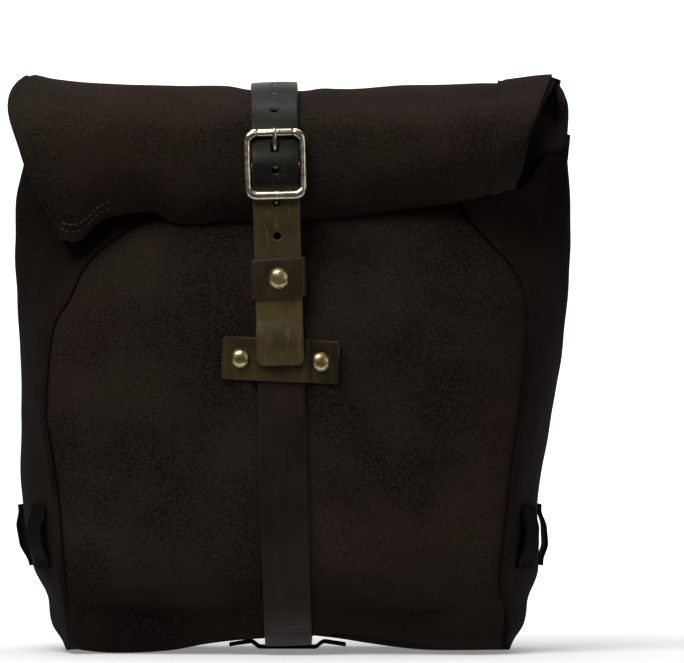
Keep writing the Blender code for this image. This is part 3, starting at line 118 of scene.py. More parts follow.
RIVET_X, RIVET_RADIUS, RIVET_DOME = 0.0256, 0.0059, 0.0032
BELT_AT_ROLL = -0.0075
WEBBING = 0.0016
LINE = Matrix.Translation(BELT_FOOT) @ Matrix.Rotation(-math.atan(BELT_LEAN), 4, "Y")


# Curves and paths ----------------------------------------------------------------------------
def smooth(points):
    """A function that passes smoothly through (key, value) points."""
    keys = [p[0] for p in points]
    values = [p[1] for p in points]
    last = len(points) - 1
    slopes = []
    for i in range(len(points)):
        a, b = max(0, i - 1), min(last, i + 1)
        slopes.append((values[b] - values[a]) / (keys[b] - keys[a]))

    def value(key):
        key = min(max(key, keys[0]), keys[-1])
        i = 0
        while i < last - 1 and key > keys[i + 1]:
            i += 1
        step = keys[i + 1] - keys[i]
        t = (key - keys[i]) / step
        rise = 3 * t * t - 2 * t ** 3
        bend_a = (t ** 3 - 2 * t * t + t) * step * slopes[i]
        bend_b = (t ** 3 - t * t) * step * slopes[i + 1]
        return values[i] * (1 - rise) + values[i + 1] * rise + bend_a + bend_b

    return value


def ease(value, low, high):
    """0 before low, 1 after high, smooth between; high may be the lower of the two."""
    t = min(1.0, max(0.0, (value - low) / (high - low)))
    return t * t * (3 - 2 * t)


def bell(distance, width):
    """A bump of height 1: it has fallen to about a third at a width from its middle."""
    return math.exp(-(distance / width) ** 2)


def smooth_path(points, step):
    """Points about a step apart on a smooth curve through 2D points."""
    chord = [0.0]
    for a, b in zip(points, points[1:]):
        chord.append(chord[-1] + math.dist(a, b))
    first = smooth([(s, p[0]) for s, p in zip(chord, points)])
    second = smooth([(s, p[1]) for s, p in zip(chord, points)])
    count = max(2, round(chord[-1] / step))
    return [(first(chord[-1] * i / count), second(chord[-1] * i / count)) for i in range(count + 1)]


def directions(path):
    """Unit tangents of a 2D path at its points."""
    result = []
    for i in range(len(path)):
        a, b = path[max(0, i - 1)], path[min(len(path) - 1, i + 1)]
        length = math.dist(a, b)
        result.append(((b[0] - a[0]) / length, (b[1] - a[1]) / length))
    return result


def offset(path, distance):
    """A 2D path moved sideways, to the left of its direction for a positive distance."""
    return [(p[0] - d[1] * distance, p[1] + d[0] * distance) for p, d in zip(path, directions(path))]


def lengths(path):
    """Length along a path up to each of its points."""
    total = [0.0]
    for a, b in zip(path, path[1:]):
        total.append(total[-1] + math.dist(a, b))
    return total


def along(path, distance):
    """The point and the direction of a path at a length along it."""
    total = lengths(path)
    i = 0
    while i < len(path) - 2 and total[i + 1] < distance:
        i += 1
    t = (distance - total[i]) / (total[i + 1] - total[i])
    a, b = path[i], path[i + 1]
    span = math.dist(a, b)
    point = (a[0] + (b[0] - a[0]) * t, a[1] + (b[1] - a[1]) * t)
    return point, ((b[0] - a[0]) / span, (b[1] - a[1]) / span)


def nearest(path, y, z):
    """Length along a path to the point nearest to (y, z)."""
    total = lengths(path)
    samples = [total[-1] * k / 3000 for k in range(3001)]
    return min(samples, key=lambda s: math.dist(along(path, s)[0], (y, z)))


def distance_to(points, x, z):
    """Distance from (x, z) to a broken line."""
    best = 1.0
    for (ax, az), (bx, bz) in zip(points, points[1:]):
        dx, dz = bx - ax, bz - az
        t = min(1.0, max(0.0, ((x - ax) * dx + (z - az) * dz) / (dx * dx + dz * dz)))
        best = min(best, math.hypot(x - ax - dx * t, z - az - dz * t))
    return best


def waves(x, y, z, size, seed):
    """Smooth noise about -1 to 1 with features of a size."""
    return noise.noise(Vector((x / size + seed, y / size + seed * 1.7, z / size - seed)))


widest, seam_y, crown_y = smooth(WIDEST), smooth(SEAM_Y), smooth(CROWN_Y)
left_seam, right_seam, drift = smooth(LEFT_SEAM), smooth(RIGHT_SEAM), smooth(DRIFT)
front_floor, roll_low, roll_high = smooth(FRONT_FLOOR), smooth(ROLL_LOW), smooth(ROLL_HIGH)
left_end, right_end, ear_seam = smooth(LEFT_END), smooth(RIGHT_END), smooth(EAR_SEAM)


# Finishes ------------------------------------------------------------------------------------
class Look:
    """A procedural material: noise in colour, roughness and relief, in the object's own coordinates."""

    def __init__(self, name, roughness=0.5, metallic=0.0, specular=0.5, sheen=0.0, coat=0.0):
        self.material = bpy.data.materials.new(name)
        self.material.use_nodes = True
        self.nodes = self.material.node_tree.nodes
        self.links = self.material.node_tree.links
        self.shader = self.nodes["Principled BSDF"]
        inputs = self.shader.inputs
        inputs["Roughness"].default_value = roughness
        inputs["Metallic"].default_value = metallic
        inputs["Specular IOR Level"].default_value = specular
        inputs["Sheen Weight"].default_value = sheen
        inputs["Sheen Roughness"].default_value = 0.5
        inputs["Coat Weight"].default_value = coat
        inputs["Coat Roughness"].default_value = 0.25
        self.place = self.nodes.new("ShaderNodeTexCoord").outputs["Object"]
        self.normal = None

    def stretched(self, scale, turn=(0.0, 0.0, 0.0)):
        """Coordinates scaled unevenly, for grain that runs one way."""
        mapping = self.nodes.new("ShaderNodeMapping")
        mapping.inputs["Scale"].default_value = scale
        mapping.inputs["Rotation"].default_value = turn
        self.links.new(self.place, mapping.inputs["Vector"])
        return mapping.outputs["Vector"]

    def noise(self, scale, detail=3.0, place=None, roughness=0.55):
        made = self.nodes.new("ShaderNodeTexNoise")
        made.inputs["Scale"].default_value = scale
        made.inputs["Detail"].default_value = detail
        made.inputs["Roughness"].default_value = roughness
        self.links.new(place or self.place, made.inputs["Vector"])
        return made.outputs["Fac"]

    def cells(self, scale):
        made = self.nodes.new("ShaderNodeTexVoronoi")
        made.feature = "DISTANCE_TO_EDGE"
        made.inputs["Scale"].default_value = scale
        self.links.new(self.place, made.inputs["Vector"])
        return made.outputs["Distance"]

    def ribs(self, scale, direction, distortion):
        made = self.nodes.new("ShaderNodeTexWave")
        made.bands_direction = direction
        made.inputs["Scale"].default_value = scale
        made.inputs["Distortion"].default_value = distortion
        self.links.new(self.place, made.inputs["Vector"])
        return made.outputs["Fac"]

    def ramp(self, value, stops):
        """Colours or greys along a value."""
        made = self.nodes.new("ShaderNodeValToRGB")
        elements = made.color_ramp.elements
        while len(elements) < len(stops):
            elements.new(0.5)
        for element, (at, colour) in zip(elements, stops):
            element.position = at
            red, green, blue = colour if hasattr(colour, "__len__") else (colour, colour, colour)
            element.color = (red, green, blue, 1.0)
        self.links.new(value, made.inputs["Fac"])
        return made.outputs["Color"]

    def mix(self, amount, a, b, blend="MIX"):
        made = self.nodes.new("ShaderNodeMix")
        made.data_type = "RGBA"
        made.blend_type = blend
        for socket, value in ((made.inputs[0], amount), (made.inputs[6], a), (made.inputs[7], b)):
            if isinstance(value, bpy.types.NodeSocket):
                self.links.new(value, socket)
            elif hasattr(value, "__len__"):
                socket.default_value = (*value, 1.0)
            else:
                socket.default_value = value
        return made.outputs[2]

    def height(self, axis="Z"):
        """One coordinate of the object's own frame."""
        made = self.nodes.new("ShaderNodeSeparateXYZ")
        self.links.new(self.place, made.inputs[0])
        return made.outputs[axis]

    def spread(self, value, low, high):
        """0 at low, 1 at high."""
        made = self.nodes.new("ShaderNodeMapRange")
        made.inputs["From Min"].default_value = low
        made.inputs["From Max"].default_value = high
        self.links.new(value, made.inputs["Value"])
        return made.outputs["Result"]

    def colour(self, value):
        self.links.new(value, self.shader.inputs["Base Color"])
        return self

    def rough(self, value, low, high):
        """Roughness from low to high along a value."""
        self.links.new(self.ramp(value, ((0.3, low), (0.7, high))), self.shader.inputs["Roughness"])
        return self

    def bump(self, value, distance, strength=1.0):
        """Adds relief of a height in metres."""
        made = self.nodes.new("ShaderNodeBump")
        made.inputs["Distance"].default_value = distance
        made.inputs["Strength"].default_value = strength
        self.links.new(value, made.inputs["Height"])
        if self.normal:
            self.links.new(self.normal, made.inputs["Normal"])
        self.normal = made.outputs["Normal"]
        self.links.new(self.normal, self.shader.inputs["Normal"])
        return self


def suede(name, level=1.0, red=1.0, fold=None):
    """Split leather: a short nap, cloudy tones, paler rubbed places, and painted shade that darkens it low
    down.

    A fold is (way, dark, light): painted shade darkens the leather along a direction, between two places on
    it.
    """
    look = Look(name, roughness=0.95, specular=0.05, sheen=0.008)
    look.shader.inputs["Sheen Tint"].default_value = (0.55, 0.47, 0.42, 1.0)

    def tone_at(r, g, b):
        return r * level, g * level, b * level

    clouds = look.ramp(look.noise(15.0, 3.5), ((0.34, tone_at(0.0020, 0.0014, 0.0011)),
                                               (0.50, tone_at(0.0060, 0.0040, 0.0030)),
                                               (0.66, tone_at(0.0140, 0.0098, 0.0072))))
    reddish = look.ramp(look.noise(6.0, 4.0), ((0.46, 0.0), (0.62, 0.70 * red)))
    warm = look.mix(reddish, clouds, tone_at(0.0155, 0.0070, 0.0058))
    greenish = look.ramp(look.noise(8.0, 4.0, look.stretched((1.0, 1.0, 1.4))), ((0.50, 0.0), (0.64, 0.6)))
    olive = look.mix(greenish, warm, tone_at(0.0105, 0.0092, 0.0045))
    pale = look.mix(0.5, olive, tone_at(0.034, 0.026, 0.020))
    nap = look.ramp(look.noise(760.0, 4.0, roughness=0.75), ((0.42, 0.0), (0.60, 1.0)))
    grain = look.mix(nap, olive, pale)
    rubbed = look.ramp(look.noise(24.0, 4.0, roughness=0.5), ((0.54, 0.0), (0.70, 0.45)))
    worn = look.mix(rubbed, grain, tone_at(0.0180, 0.0132, 0.0102))
    # Painted shade: the colour is multiplied darker towards the bottom, full at 75 mm height and about half
    # at 10 mm.
    painted_low_shade = look.ramp(look.spread(look.height(), 0.010, 0.075), ((0.0, 0.52), (0.45, 0.66), (1.0, 1.0)))
    tone = look.mix(1.0, worn, painted_low_shade, "MULTIPLY")
    # Painted shade in a fold's hollow: the colour falls to 0.12 on the dark side of a line and stays full on
    # the light side.
    if fold:
        way, dark, light = fold
        depth = look.nodes.new("ShaderNodeVectorMath")
        depth.operation = "DOT_PRODUCT"
        depth.inputs[1].default_value = way
        look.links.new(look.place, depth.inputs[0])
        shade = look.ramp(look.spread(depth.outputs["Value"], dark, light), ((0.0, 0.12), (1.0, 1.0)))
        tone = look.mix(1.0, tone, shade, "MULTIPLY")
    look.colour(tone)
    look.bump(look.noise(38.0, 4.0), 0.0011, 0.55)
    look.bump(look.noise(430.0, 3.0), 0.00030, 0.55)
    look.bump(look.noise(900.0, 3.0, roughness=0.75), 0.00022, 0.8)
    return look.material


def hide_edge(name):
    """The cut edge of the split leather: fibrous and a little paler."""
    look = Look(name, roughness=0.95, specular=0.05)
    fibres = look.noise(800.0, 4.0)
    look.colour(look.ramp(fibres, ((0.3, (0.009, 0.0068, 0.0055)), (0.7, (0.026, 0.020, 0.016)))))
    look.bump(look.noise(1200.0, 3.0), 0.0003, 0.8)
    return look.material


def strap_leather(name, dark, light, low=0.30, high=0.48, fleck=0.5, shine=0.16, foot=False, aged=False):
    """Waxed belt leather: fine pores, cloudy wax, handling marks.

    An aged strap fades from near black at the top to its own colours below; a foot is scuffed pale.
    """
    look = Look(name, roughness=0.4, specular=shine)
    clouds = look.noise(26.0, 5.0, roughness=0.6)
    tone = look.ramp(clouds, ((0.32, dark), (0.70, light)))
    streaks = look.noise(1.0, 4.0, look.stretched((420.0, 420.0, 45.0)))
    pale = tuple(c * 1.9 + 0.004 for c in light)
    if aged:
        down = look.spread(look.height(), 0.302, 0.222)
        black = look.ramp(clouds, ((0.32, (0.0050, 0.0045, 0.0036)), (0.70, (0.0120, 0.0108, 0.0082))))
        faded = look.ramp(down, ((0.0, 1.0), (0.08, 0.45), (0.55, 0.28), (1.0, 0.0)))
        tone = look.mix(faded, tone, black)
    tone = look.mix(look.ramp(streaks, ((0.56, 0.0), (0.76, fleck))), tone, pale)
    if foot:
        lines = look.noise(1.0, 3.0, look.stretched((60.0, 60.0, 1500.0)))
        worn = look.ramp(look.spread(look.height(), 0.034, 0.008), ((0.0, 0.0), (1.0, 0.9)))
        worn_tone = look.ramp(lines, ((0.35, tuple(c * 1.5 for c in light)), (0.66, (0.044, 0.042, 0.044))))
        tone = look.mix(worn, tone, worn_tone)
    look.colour(tone)
    look.rough(look.noise(70.0, 5.0), low, high)
    look.bump(look.noise(18.0, 3.0), 0.0006, 0.35)
    look.bump(look.cells(780.0), 0.00009, 0.7)
    look.bump(look.noise(1600.0, 2.0), 0.00006, 0.6)
    return look.material


def burnished(name, colour):
    """The painted, rubbed edge of a strap."""
    look = Look(name, roughness=0.38, specular=0.35, coat=0.05)
    rubbed = tuple(c * 2.6 + 0.01 for c in colour)
    look.colour(look.ramp(look.noise(160.0, 4.0), ((0.3, colour), (0.72, rubbed))))
    look.bump(look.noise(500.0, 3.0), 0.00012, 0.6)
    return look.material


def metal(name, dark, light, low, high, scratch=0.00003, dents=0.0):
    """Plated or cast metal with a cloudy patina and fine scratches, and for cast metal, shallow dents."""
    look = Look(name, roughness=0.3, metallic=1.0)
    look.colour(look.ramp(look.noise(240.0, 5.0, roughness=0.65), ((0.34, dark), (0.62, light))))
    look.rough(look.noise(420.0, 4.0), low, high)
    look.bump(look.noise(1.0, 3.0, look.stretched((900.0, 900.0, 120.0), (0.4, 0.2, 0.6))), scratch, 0.7)
    if dents:
        look.bump(look.noise(190.0, 2.0), dents, 0.6)
    return look.material


def moulded(name, colour, low=0.42, high=0.58):
    """Moulded plastic or fibreboard with a fine grain."""
    look = Look(name, roughness=0.5, specular=0.45)
    look.colour(look.ramp(look.noise(50.0, 4.0), ((0.35, colour), (0.7, tuple(c * 1.5 for c in colour)))))
    look.rough(look.noise(160.0, 3.0), low, high)
    look.bump(look.noise(900.0, 2.0), 0.00006, 0.6)
    return look.material


def woven(name, dark, light, pitch, direction="Z"):
    """Webbing, lining or thread: ribs along one direction, with a little fuzz."""
    look = Look(name, roughness=0.90, specular=0.04)
    ribs = look.ribs(math.pi / 10 / pitch, direction, 0.3)
    fuzz = look.ramp(look.noise(500.0, 4.0), ((0.35, 0.0), (0.7, 0.8)))
    look.colour(look.mix(fuzz, look.ramp(ribs, ((0.15, dark), (0.8, light))), dark))
    look.bump(ribs, pitch * 0.22, 0.8)
    look.bump(look.noise(1300.0, 3.0), 0.00014, 0.7)
    return look.material


MATERIALS = {
    "suede": suede("suede"),
    # Painted shade: a darker, less red copy of the suede for the gussets, which stand in shade at the sides.
    "suede_painted_side_shade": suede("suede_painted_side_shade", 0.66, 0.7),
    # Painted shade: the pleat's suede, darkened in its valley towards the roll's end and full on the outer
    # strip.
    "suede_painted_fold_shade": suede("suede_painted_fold_shade", 0.85, 0.7, ((1.0, 0.0, -0.17), 0.1060, 0.1170)),
    "suede_edge": hide_edge("suede_edge"),
    # Painted shade: a much darker copy of the suede for the cut rims of the front panel and gussets, so the
    # seams read as shaded grooves.
    "suede_seam_painted_shade": suede("suede_seam_painted_shade", 0.35),
    "belt_black": strap_leather("belt_black", (0.0060, 0.0052, 0.0040), (0.0150, 0.0135, 0.0105),
                                0.36, 0.50, 0.35, 0.09),
    "belt_olive": strap_leather("belt_olive", (0.0360, 0.0250, 0.0085), (0.0920, 0.0680, 0.0260),
                                0.30, 0.46, 0.4, aged=True),
    "belt_grey": strap_leather("belt_grey", (0.0075, 0.0048, 0.0034), (0.0165, 0.0108, 0.0076),
                               0.42, 0.58, 0.35, 0.08, foot=True),
    "patch_leather": strap_leather("patch_leather", (0.0110, 0.0080, 0.0034), (0.0520, 0.0400, 0.0160),
                                   0.30, 0.46, 0.4, 0.12),
    "belt_keeper": strap_leather("belt_keeper", (0.0110, 0.0080, 0.0036), (0.0350, 0.0265, 0.0115),
                                 0.32, 0.46, 0.4),
    "belt_edge": burnished("belt_edge", (0.034, 0.029, 0.023)),
    "nickel": metal("nickel", (0.34, 0.29, 0.19), (0.70, 0.64, 0.50), 0.16, 0.28, 0.00001, 0.00003),
    "brass": metal("brass", (0.24, 0.185, 0.080), (0.50, 0.42, 0.22), 0.26, 0.40, 0.00001, 0.00003),
    "steel": metal("steel", (0.36, 0.36, 0.37), (0.56, 0.56, 0.57), 0.28, 0.42),
    "aluminium": metal("aluminium", (0.045, 0.045, 0.048), (0.075, 0.075, 0.080), 0.38, 0.52),
    "nylon": moulded("nylon", (0.011, 0.011, 0.012)),
    "board": moulded("board", (0.020, 0.020, 0.021), 0.5, 0.7),
    "webbing": woven("webbing", (0.0016, 0.0013, 0.0011), (0.0080, 0.0068, 0.0058), 0.0024, "Y"),
    "lining": woven("lining", (0.026, 0.024, 0.023), (0.070, 0.066, 0.062), 0.0011),
    "thread": woven("thread", (0.060, 0.052, 0.042), (0.155, 0.138, 0.115), 0.0004, "X"),
}


# Building meshes -----------------------------------------------------------------------------
def new_piece(name, vertices, faces, materials, sharp=35.0):
    """An object from vertices and faces, outward and smooth, with its materials."""
    mesh = bpy.data.meshes.new(name)
    mesh.from_pydata([tuple(v) for v in vertices], [], faces)
    work = bmesh.new()
    work.from_mesh(mesh)
    bmesh.ops.recalc_face_normals(work, faces=work.faces)
    work.to_mesh(mesh)
    work.free()
    mesh.shade_smooth()
    mesh.set_sharp_from_angle(angle=math.radians(sharp))
    piece = bpy.data.objects.new(name, mesh)
    SCENE.collection.objects.link(piece)
    for material in materials:
        mesh.materials.append(MATERIALS[material])
    return piece


def bake(piece):
    """Applies a piece's modifiers to its mesh."""
    graph = bpy.context.evaluated_depsgraph_get()
    mesh = bpy.data.meshes.new_from_object(piece.evaluated_get(graph))
    piece.modifiers.clear()
    piece.data = mesh
    return piece


def place(piece, body, slot, *nodes):
    """Puts a finished piece on its body, in place of its CAD solids."""
    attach(piece, body)
    if nodes:
        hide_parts(*nodes)
    return piece


def grid_faces(rows, columns, wrap=False):
    """Quads between the rows of a grid of points; wrap joins each row's last point to its first."""
    faces = []
    for i in range(rows - 1):
        for j in range(columns - (0 if wrap else 1)):
            n = (j + 1) % columns
            faces.append((i * columns + j, i * columns + n, (i + 1) * columns + n, (i + 1) * columns + j))
    return faces


def round_edges(piece, width, angle):
    """Rounds the edges that are sharper than an angle in degrees."""
    bevel = piece.modifiers.new("edge", "BEVEL")
    bevel.width = width
    bevel.segments = 2
    bevel.limit_method = "ANGLE"
    bevel.angle_limit = math.radians(angle)


def hide(name, grid, thickness, materials=("suede", "suede_edge"), rounding=0.0006, inside=(0.0, 0.0, 0.18)):
    """A leather panel from a grid of outer points, thickened inwards; its edge takes the second material."""
    rows, columns = len(grid), len(grid[0])
    mesh = bpy.data.meshes.new(name)
    mesh.from_pydata([tuple(p) for row in grid for p in row], [], grid_faces(rows, columns))
    mesh.shade_smooth()
    for material in materials:
        mesh.materials.append(MATERIALS[material])
    piece = bpy.data.objects.new(name, mesh)
    SCENE.collection.objects.link(piece)
    solidify = piece.modifiers.new("thickness", "SOLIDIFY")
    solidify.thickness = thickness
    facing = sum(f.normal.dot(f.center - Vector(inside)) * f.area for f in mesh.polygons)
    solidify.offset = -1.0 if facing > 0 else 1.0
    solidify.use_even_offset = False
    solidify.material_offset_rim = 1
    round_edges(piece, rounding, 50)
    return bake(piece)


def section(half, thick, radius, crown, columns):
    """Closed outline of a strap across its width: (across, out) points."""
    radius = min(radius, thick / 2 - 1e-5, half * 0.9)
    steps = 3
    points = []
    for j in range(columns + 1):
        a = (half - radius) * (1 - 2 * j / columns)
        points.append((a, thick / 2 + crown * (1 - (a / half) ** 2)))
    wide, tall = half - radius, thick / 2 - radius
    for quarter, (a, b) in enumerate(((-wide, tall), (-wide, -tall), (wide, -tall), (wide, tall))):
        for k in range(steps + 1):
            if (quarter, k) in ((0, 0), (3, steps)):
                continue
            angle = math.pi / 2 * (quarter + 1 + k / steps)
            points.append((a + radius * math.cos(angle), b + radius * math.sin(angle)))
    return points


def band(name, stations, thick, materials, radius=0.0009, crown=0.00025, columns=8, closed=False):
    """A strap through stations of (centre, across, out, half width); its edges take the second material."""
    vertices = []
    outline_size = 0
    for centre, across, out, half in stations:
        outline = section(half, thick, radius, crown, columns)
        outline_size = len(outline)
        for a, o in outline:
            vertices.append(centre + across * a + out * o)
    rows = len(stations)
    faces = grid_faces(rows, outline_size, wrap=True)
    if closed:
        last = (rows - 1) * outline_size
        for j in range(outline_size):
            n = (j + 1) % outline_size
            faces.append((last + j, last + n, n, j))
    else:
        faces += [tuple(range(outline_size)), tuple(rows * outline_size - 1 - k for k in range(outline_size))]
    piece = new_piece(name, vertices, faces, materials, sharp=50.0)
    if len(materials) > 1:
        for polygon in piece.data.polygons:
            i = min(polygon.vertices[0] // outline_size, rows - 1)
            across, out = stations[i][1], stations[i][2]
            side_edge = abs(polygon.normal.dot(out)) < 0.55 and abs(polygon.normal.dot(across)) > 0.3
            end_face = len(polygon.vertices) > 5
            if side_edge or end_face:
                polygon.material_index = 1
    return piece


def strap_stations(path, side, tip=0.0, step=0.002):
    """Stations of the belt along a (y, z) path in its own frame; side picks which way is out."""
    half = BELT_WIDTH / 2
    total = lengths(path)
    count = max(3, round(total[-1] / step))
    marks = [(total[-1] * k / count, half) for k in range(count + 1)]
    if tip:
        marks = [m for m in marks if m[0] < total[-1] - tip - 1e-5]
        for k in range(9):
            angle = math.pi / 2 * k / 8
            along_tip = total[-1] - tip + tip * math.sin(angle) * 0.999
            marks.append((along_tip, half - tip + tip * math.cos(angle)))
    turn = LINE.to_3x3()
    stations = []
    for mark, wide in marks:
        point, _ = along(path, mark)
        ahead, _ = along(path, min(total[-1], mark + 0.0008))
        behind, _ = along(path, max(0.0, mark - 0.0008))
        way = Vector((ahead[0] - behind[0], ahead[1] - behind[1])).normalized()
        out = turn @ Vector((0.0, -way[1] * side, way[0] * side))
        stations.append((LINE @ Vector((0.0, *point)), turn @ Vector((1.0, 0.0, 0.0)), out, wide))
    return stations


def cut(piece, tools):
    """Cuts tool meshes out of a piece, with burnished walls, and removes the tools."""
    for tool in tools:
        change = piece.modifiers.new(tool.name, "BOOLEAN")
        change.operation = "DIFFERENCE"
        change.object = tool
        change.solver = "EXACT"
        tool.data.materials.append(MATERIALS["belt_edge"])
    bake(piece)
    for tool in tools:
        bpy.data.objects.remove(tool, do_unlink=True)


def punch(path, at, stretch=0.0):
    """A cutter for a hole, round or stretched along the belt, square to a path in the belt's frame."""
    point, way = along(path, at)
    sides, reach = 28, 0.004
    vertices = []
    for end in (-reach, reach):
        for k in range(sides):
            angle = 2 * math.pi * (k + 0.5) / sides
            across = HOLE_RADIUS * math.cos(angle)
            down = HOLE_RADIUS * math.sin(angle)
            down += math.copysign(stretch / 2, down)
            vertices.append(LINE @ Vector((across, point[0] + way[0] * down - way[1] * end,
                                           point[1] + way[1] * down + way[0] * end)))
    faces = grid_faces(2, sides, wrap=True)
    faces += [tuple(range(sides)), tuple(range(2 * sides - 1, sides - 1, -1))]
    return new_piece(f"cutter_{round(at * 1e5)}", vertices, faces, ())


def turned(name, profile, seat, way, material, sides=40, crease=35.0):
    """A round piece from a (radius, height) profile, standing on its seat."""
    turn = Vector((0.0, 0.0, 1.0)).rotation_difference(Vector(way)).to_matrix()
    vertices, faces, rings = [], [], []
    for radius, height in profile:
        if radius < 1e-7:
            rings.append([len(vertices)] * sides)
            vertices.append(seat + turn @ Vector((0.0, 0.0, height)))
            continue
        rings.append([len(vertices) + k for k in range(sides)])
        for k in range(sides):
            angle = 2 * math.pi * k / sides
            at_rim = Vector((radius * math.cos(angle), radius * math.sin(angle), height))
            vertices.append(seat + turn @ at_rim)
    pairs = list(zip(rings, rings[1:]))
    if profile[0][0] > 1e-7:
        pairs.append((rings[-1], rings[0]))
    for a, b in pairs:
        for k in range(sides):
            n = (k + 1) % sides
            corner = []
            for v in (a[k], a[n], b[n], b[k]):
                if v not in corner:
                    corner.append(v)
            if len(corner) > 2:
                faces.append(tuple(corner))
    return new_piece(name, vertices, faces, (material,), crease)


def tube(name, centres, sides_of, material, sides=20, closed=False):
    """A bar swept through centres; sides_of gives (side, up, radius across, radius up) at each."""
    vertices = []
    for i, centre in enumerate(centres):
        side, up, wide, tall = sides_of(i)
        for k in range(sides):
            angle = 2 * math.pi * k / sides
            vertices.append(centre + side * wide * math.cos(angle) + up * tall * math.sin(angle))
    rows = len(centres)
    faces = grid_faces(rows, sides, wrap=True)
    last = (rows - 1) * sides
    if closed:
        faces += [(last + k, last + (k + 1) % sides, (k + 1) % sides, k) for k in range(sides)]
    else:
        faces += [tuple(range(sides)), tuple(last + sides - 1 - k for k in range(sides))]
    return new_piece(name, vertices, faces, (material,), 40.0)


def stitches(name, seams, body, thread, length, pitch, material="thread"):
    """Rows of thread; each seam is a list of (point, out) along which stitches are laid."""
    vertices, faces = [], []
    rings, sides = 7, 8
    for seam in seams:
        total = [0.0]
        for (a, _), (b, _) in zip(seam, seam[1:]):
            total.append(total[-1] + (b - a).length)
        count = int(total[-1] / pitch)
        for s in range(count):
            start = (s + 0.5) * total[-1] / count - length / 2
            ends = []
            for at in (start, start + length):
                i = 0
                while i < len(seam) - 2 and total[i + 1] < at:
                    i += 1
                t = (at - total[i]) / max(1e-9, total[i + 1] - total[i])
                point, out = (seam[i][n].lerp(seam[i + 1][n], t) for n in (0, 1))
                ends.append((point, out.normalized()))
            (a, out), (b, _) = ends
            way = (b - a).normalized()
            side = way.cross(out).normalized()
            base = len(vertices)
            for r in range(rings):
                t = r / (rings - 1)
                lift = math.sin(math.pi * t)
                radius = thread * (0.35 + 0.65 * lift ** 0.5)
                centre = a.lerp(b, t) + out * (thread * (1.1 * lift - 0.45))
                for k in range(sides):
                    angle = 2 * math.pi * k / sides
                    across, up = side * radius * math.cos(angle), out * radius * 0.8 * math.sin(angle)
                    vertices.append(centre + across + up)
            for r in range(rings - 1):
                for k in range(sides):
                    n = (k + 1) % sides
                    faces.append((base + r * sides + k, base + r * sides + n, base + (r + 1) * sides + n,
                                  base + (r + 1) * sides + k))
            faces.append(tuple(base + k for k in range(sides)))
            faces.append(tuple(base + rings * sides - 1 - k for k in range(sides)))
    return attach(new_piece(name, vertices, faces, (material,), 60.0), body)


# Surfaces of the bag -------------------------------------------------------------------------
def floor_z(x):
    """Height of the bottom in the middle of the bag's depth."""
    if abs(x) > ARCH_REACH:
        return 0.0
    return ARCH * 0.5 * (1 + math.cos(math.pi * x / ARCH_REACH))


def front_half(side, z):
    """From the middle to the front seam on one side."""
    return left_seam(z) if side < 0 else right_seam(z)


LEFT_CREASE = ((-0.136, 0.031), (-0.075, 0.0285), (-0.020, 0.031))
RIGHT_RIDGE = ((0.016, 0.058), (0.067, 0.047), (0.109, 0.032), (0.140, 0.014))
RIGHT_DENT = ((0.020, 0.040), (0.060, 0.030), (0.098, 0.017))
LEFT_FOLD = ((-0.146, 0.240), (-0.118, 0.225), (-0.085, 0.219))
sag_line = smooth(((-0.150, 0.034), (-0.110, 0.043), (-0.050, 0.046), (0.0, 0.060), (0.016, 0.058),
                   (0.067, 0.047), (0.109, 0.032), (0.142, 0.012)))


def front_relief(x, z):
    """How far the front panel stands out of its even curve."""
    clear = ease(abs(x), 0.020, 0.042) * (1 - ease(abs(x), 0.062, 0.044) * ease(abs(z - 0.190), 0.036, 0.020))
    value = 0.0022 * waves(x, 0.0, z, 0.075, 3.1) + 0.0010 * waves(x, 0.0, z, 0.028, 7.7)
    value += 0.0055 * bell(distance_to(RIGHT_RIDGE, x, z), 0.0085)
    value -= 0.0045 * bell(distance_to(RIGHT_DENT, x, z), 0.0105)
    value -= 0.0060 * bell(distance_to(LEFT_CREASE, x, z), 0.0070)
    value += 0.0016 * bell(distance_to(LEFT_CREASE, x, z + 0.0120), 0.0080)
    value += 0.0012 * bell(distance_to(LEFT_FOLD, x, z), 0.0110)
    value -= 0.0125 * ease(sag_line(x) - z, -0.001, 0.024) * ease(abs(x), 0.146, 0.122)
    pressed = 0.0009 * ease(abs(x), 0.024, 0.018) * ease(z, 0.200, 0.215)
    return min(value, 0.0) * (0.35 + 0.65 * clear) + max(value, 0.0) * clear - pressed


def front_point(c, z):
    """Outer face of the front panel: c runs from -1 to 1 between the seams."""
    side = -1 if c < 0 else 1
    half = front_half(side, z)
    x = c * half
    y = seam_y(z) + (crown_y(z) - seam_y(z)) * (1 - abs(c) ** CROWN) + 0.7 * max(0.0, z - MOUTH_Z)
    edge = half * (1 - abs(c))
    out = front_relief(x, z) * ease(edge, 0.0, 0.012)
    out += -0.0022 * bell(edge, 0.0022) + 0.0009 * bell(edge - 0.0070, 0.0036)
    out -= 0.0040 * ease(edge, 0.016, 0.0) * ease(z, 0.020, 0.060)
    return Vector((x, y - out, z))


def seam_spacing(count):
    """Numbers from -1 to 1, closer together near the two ends."""
    return [math.sin(math.pi / 2 * (2 * j / count - 1)) for j in range(count + 1)]


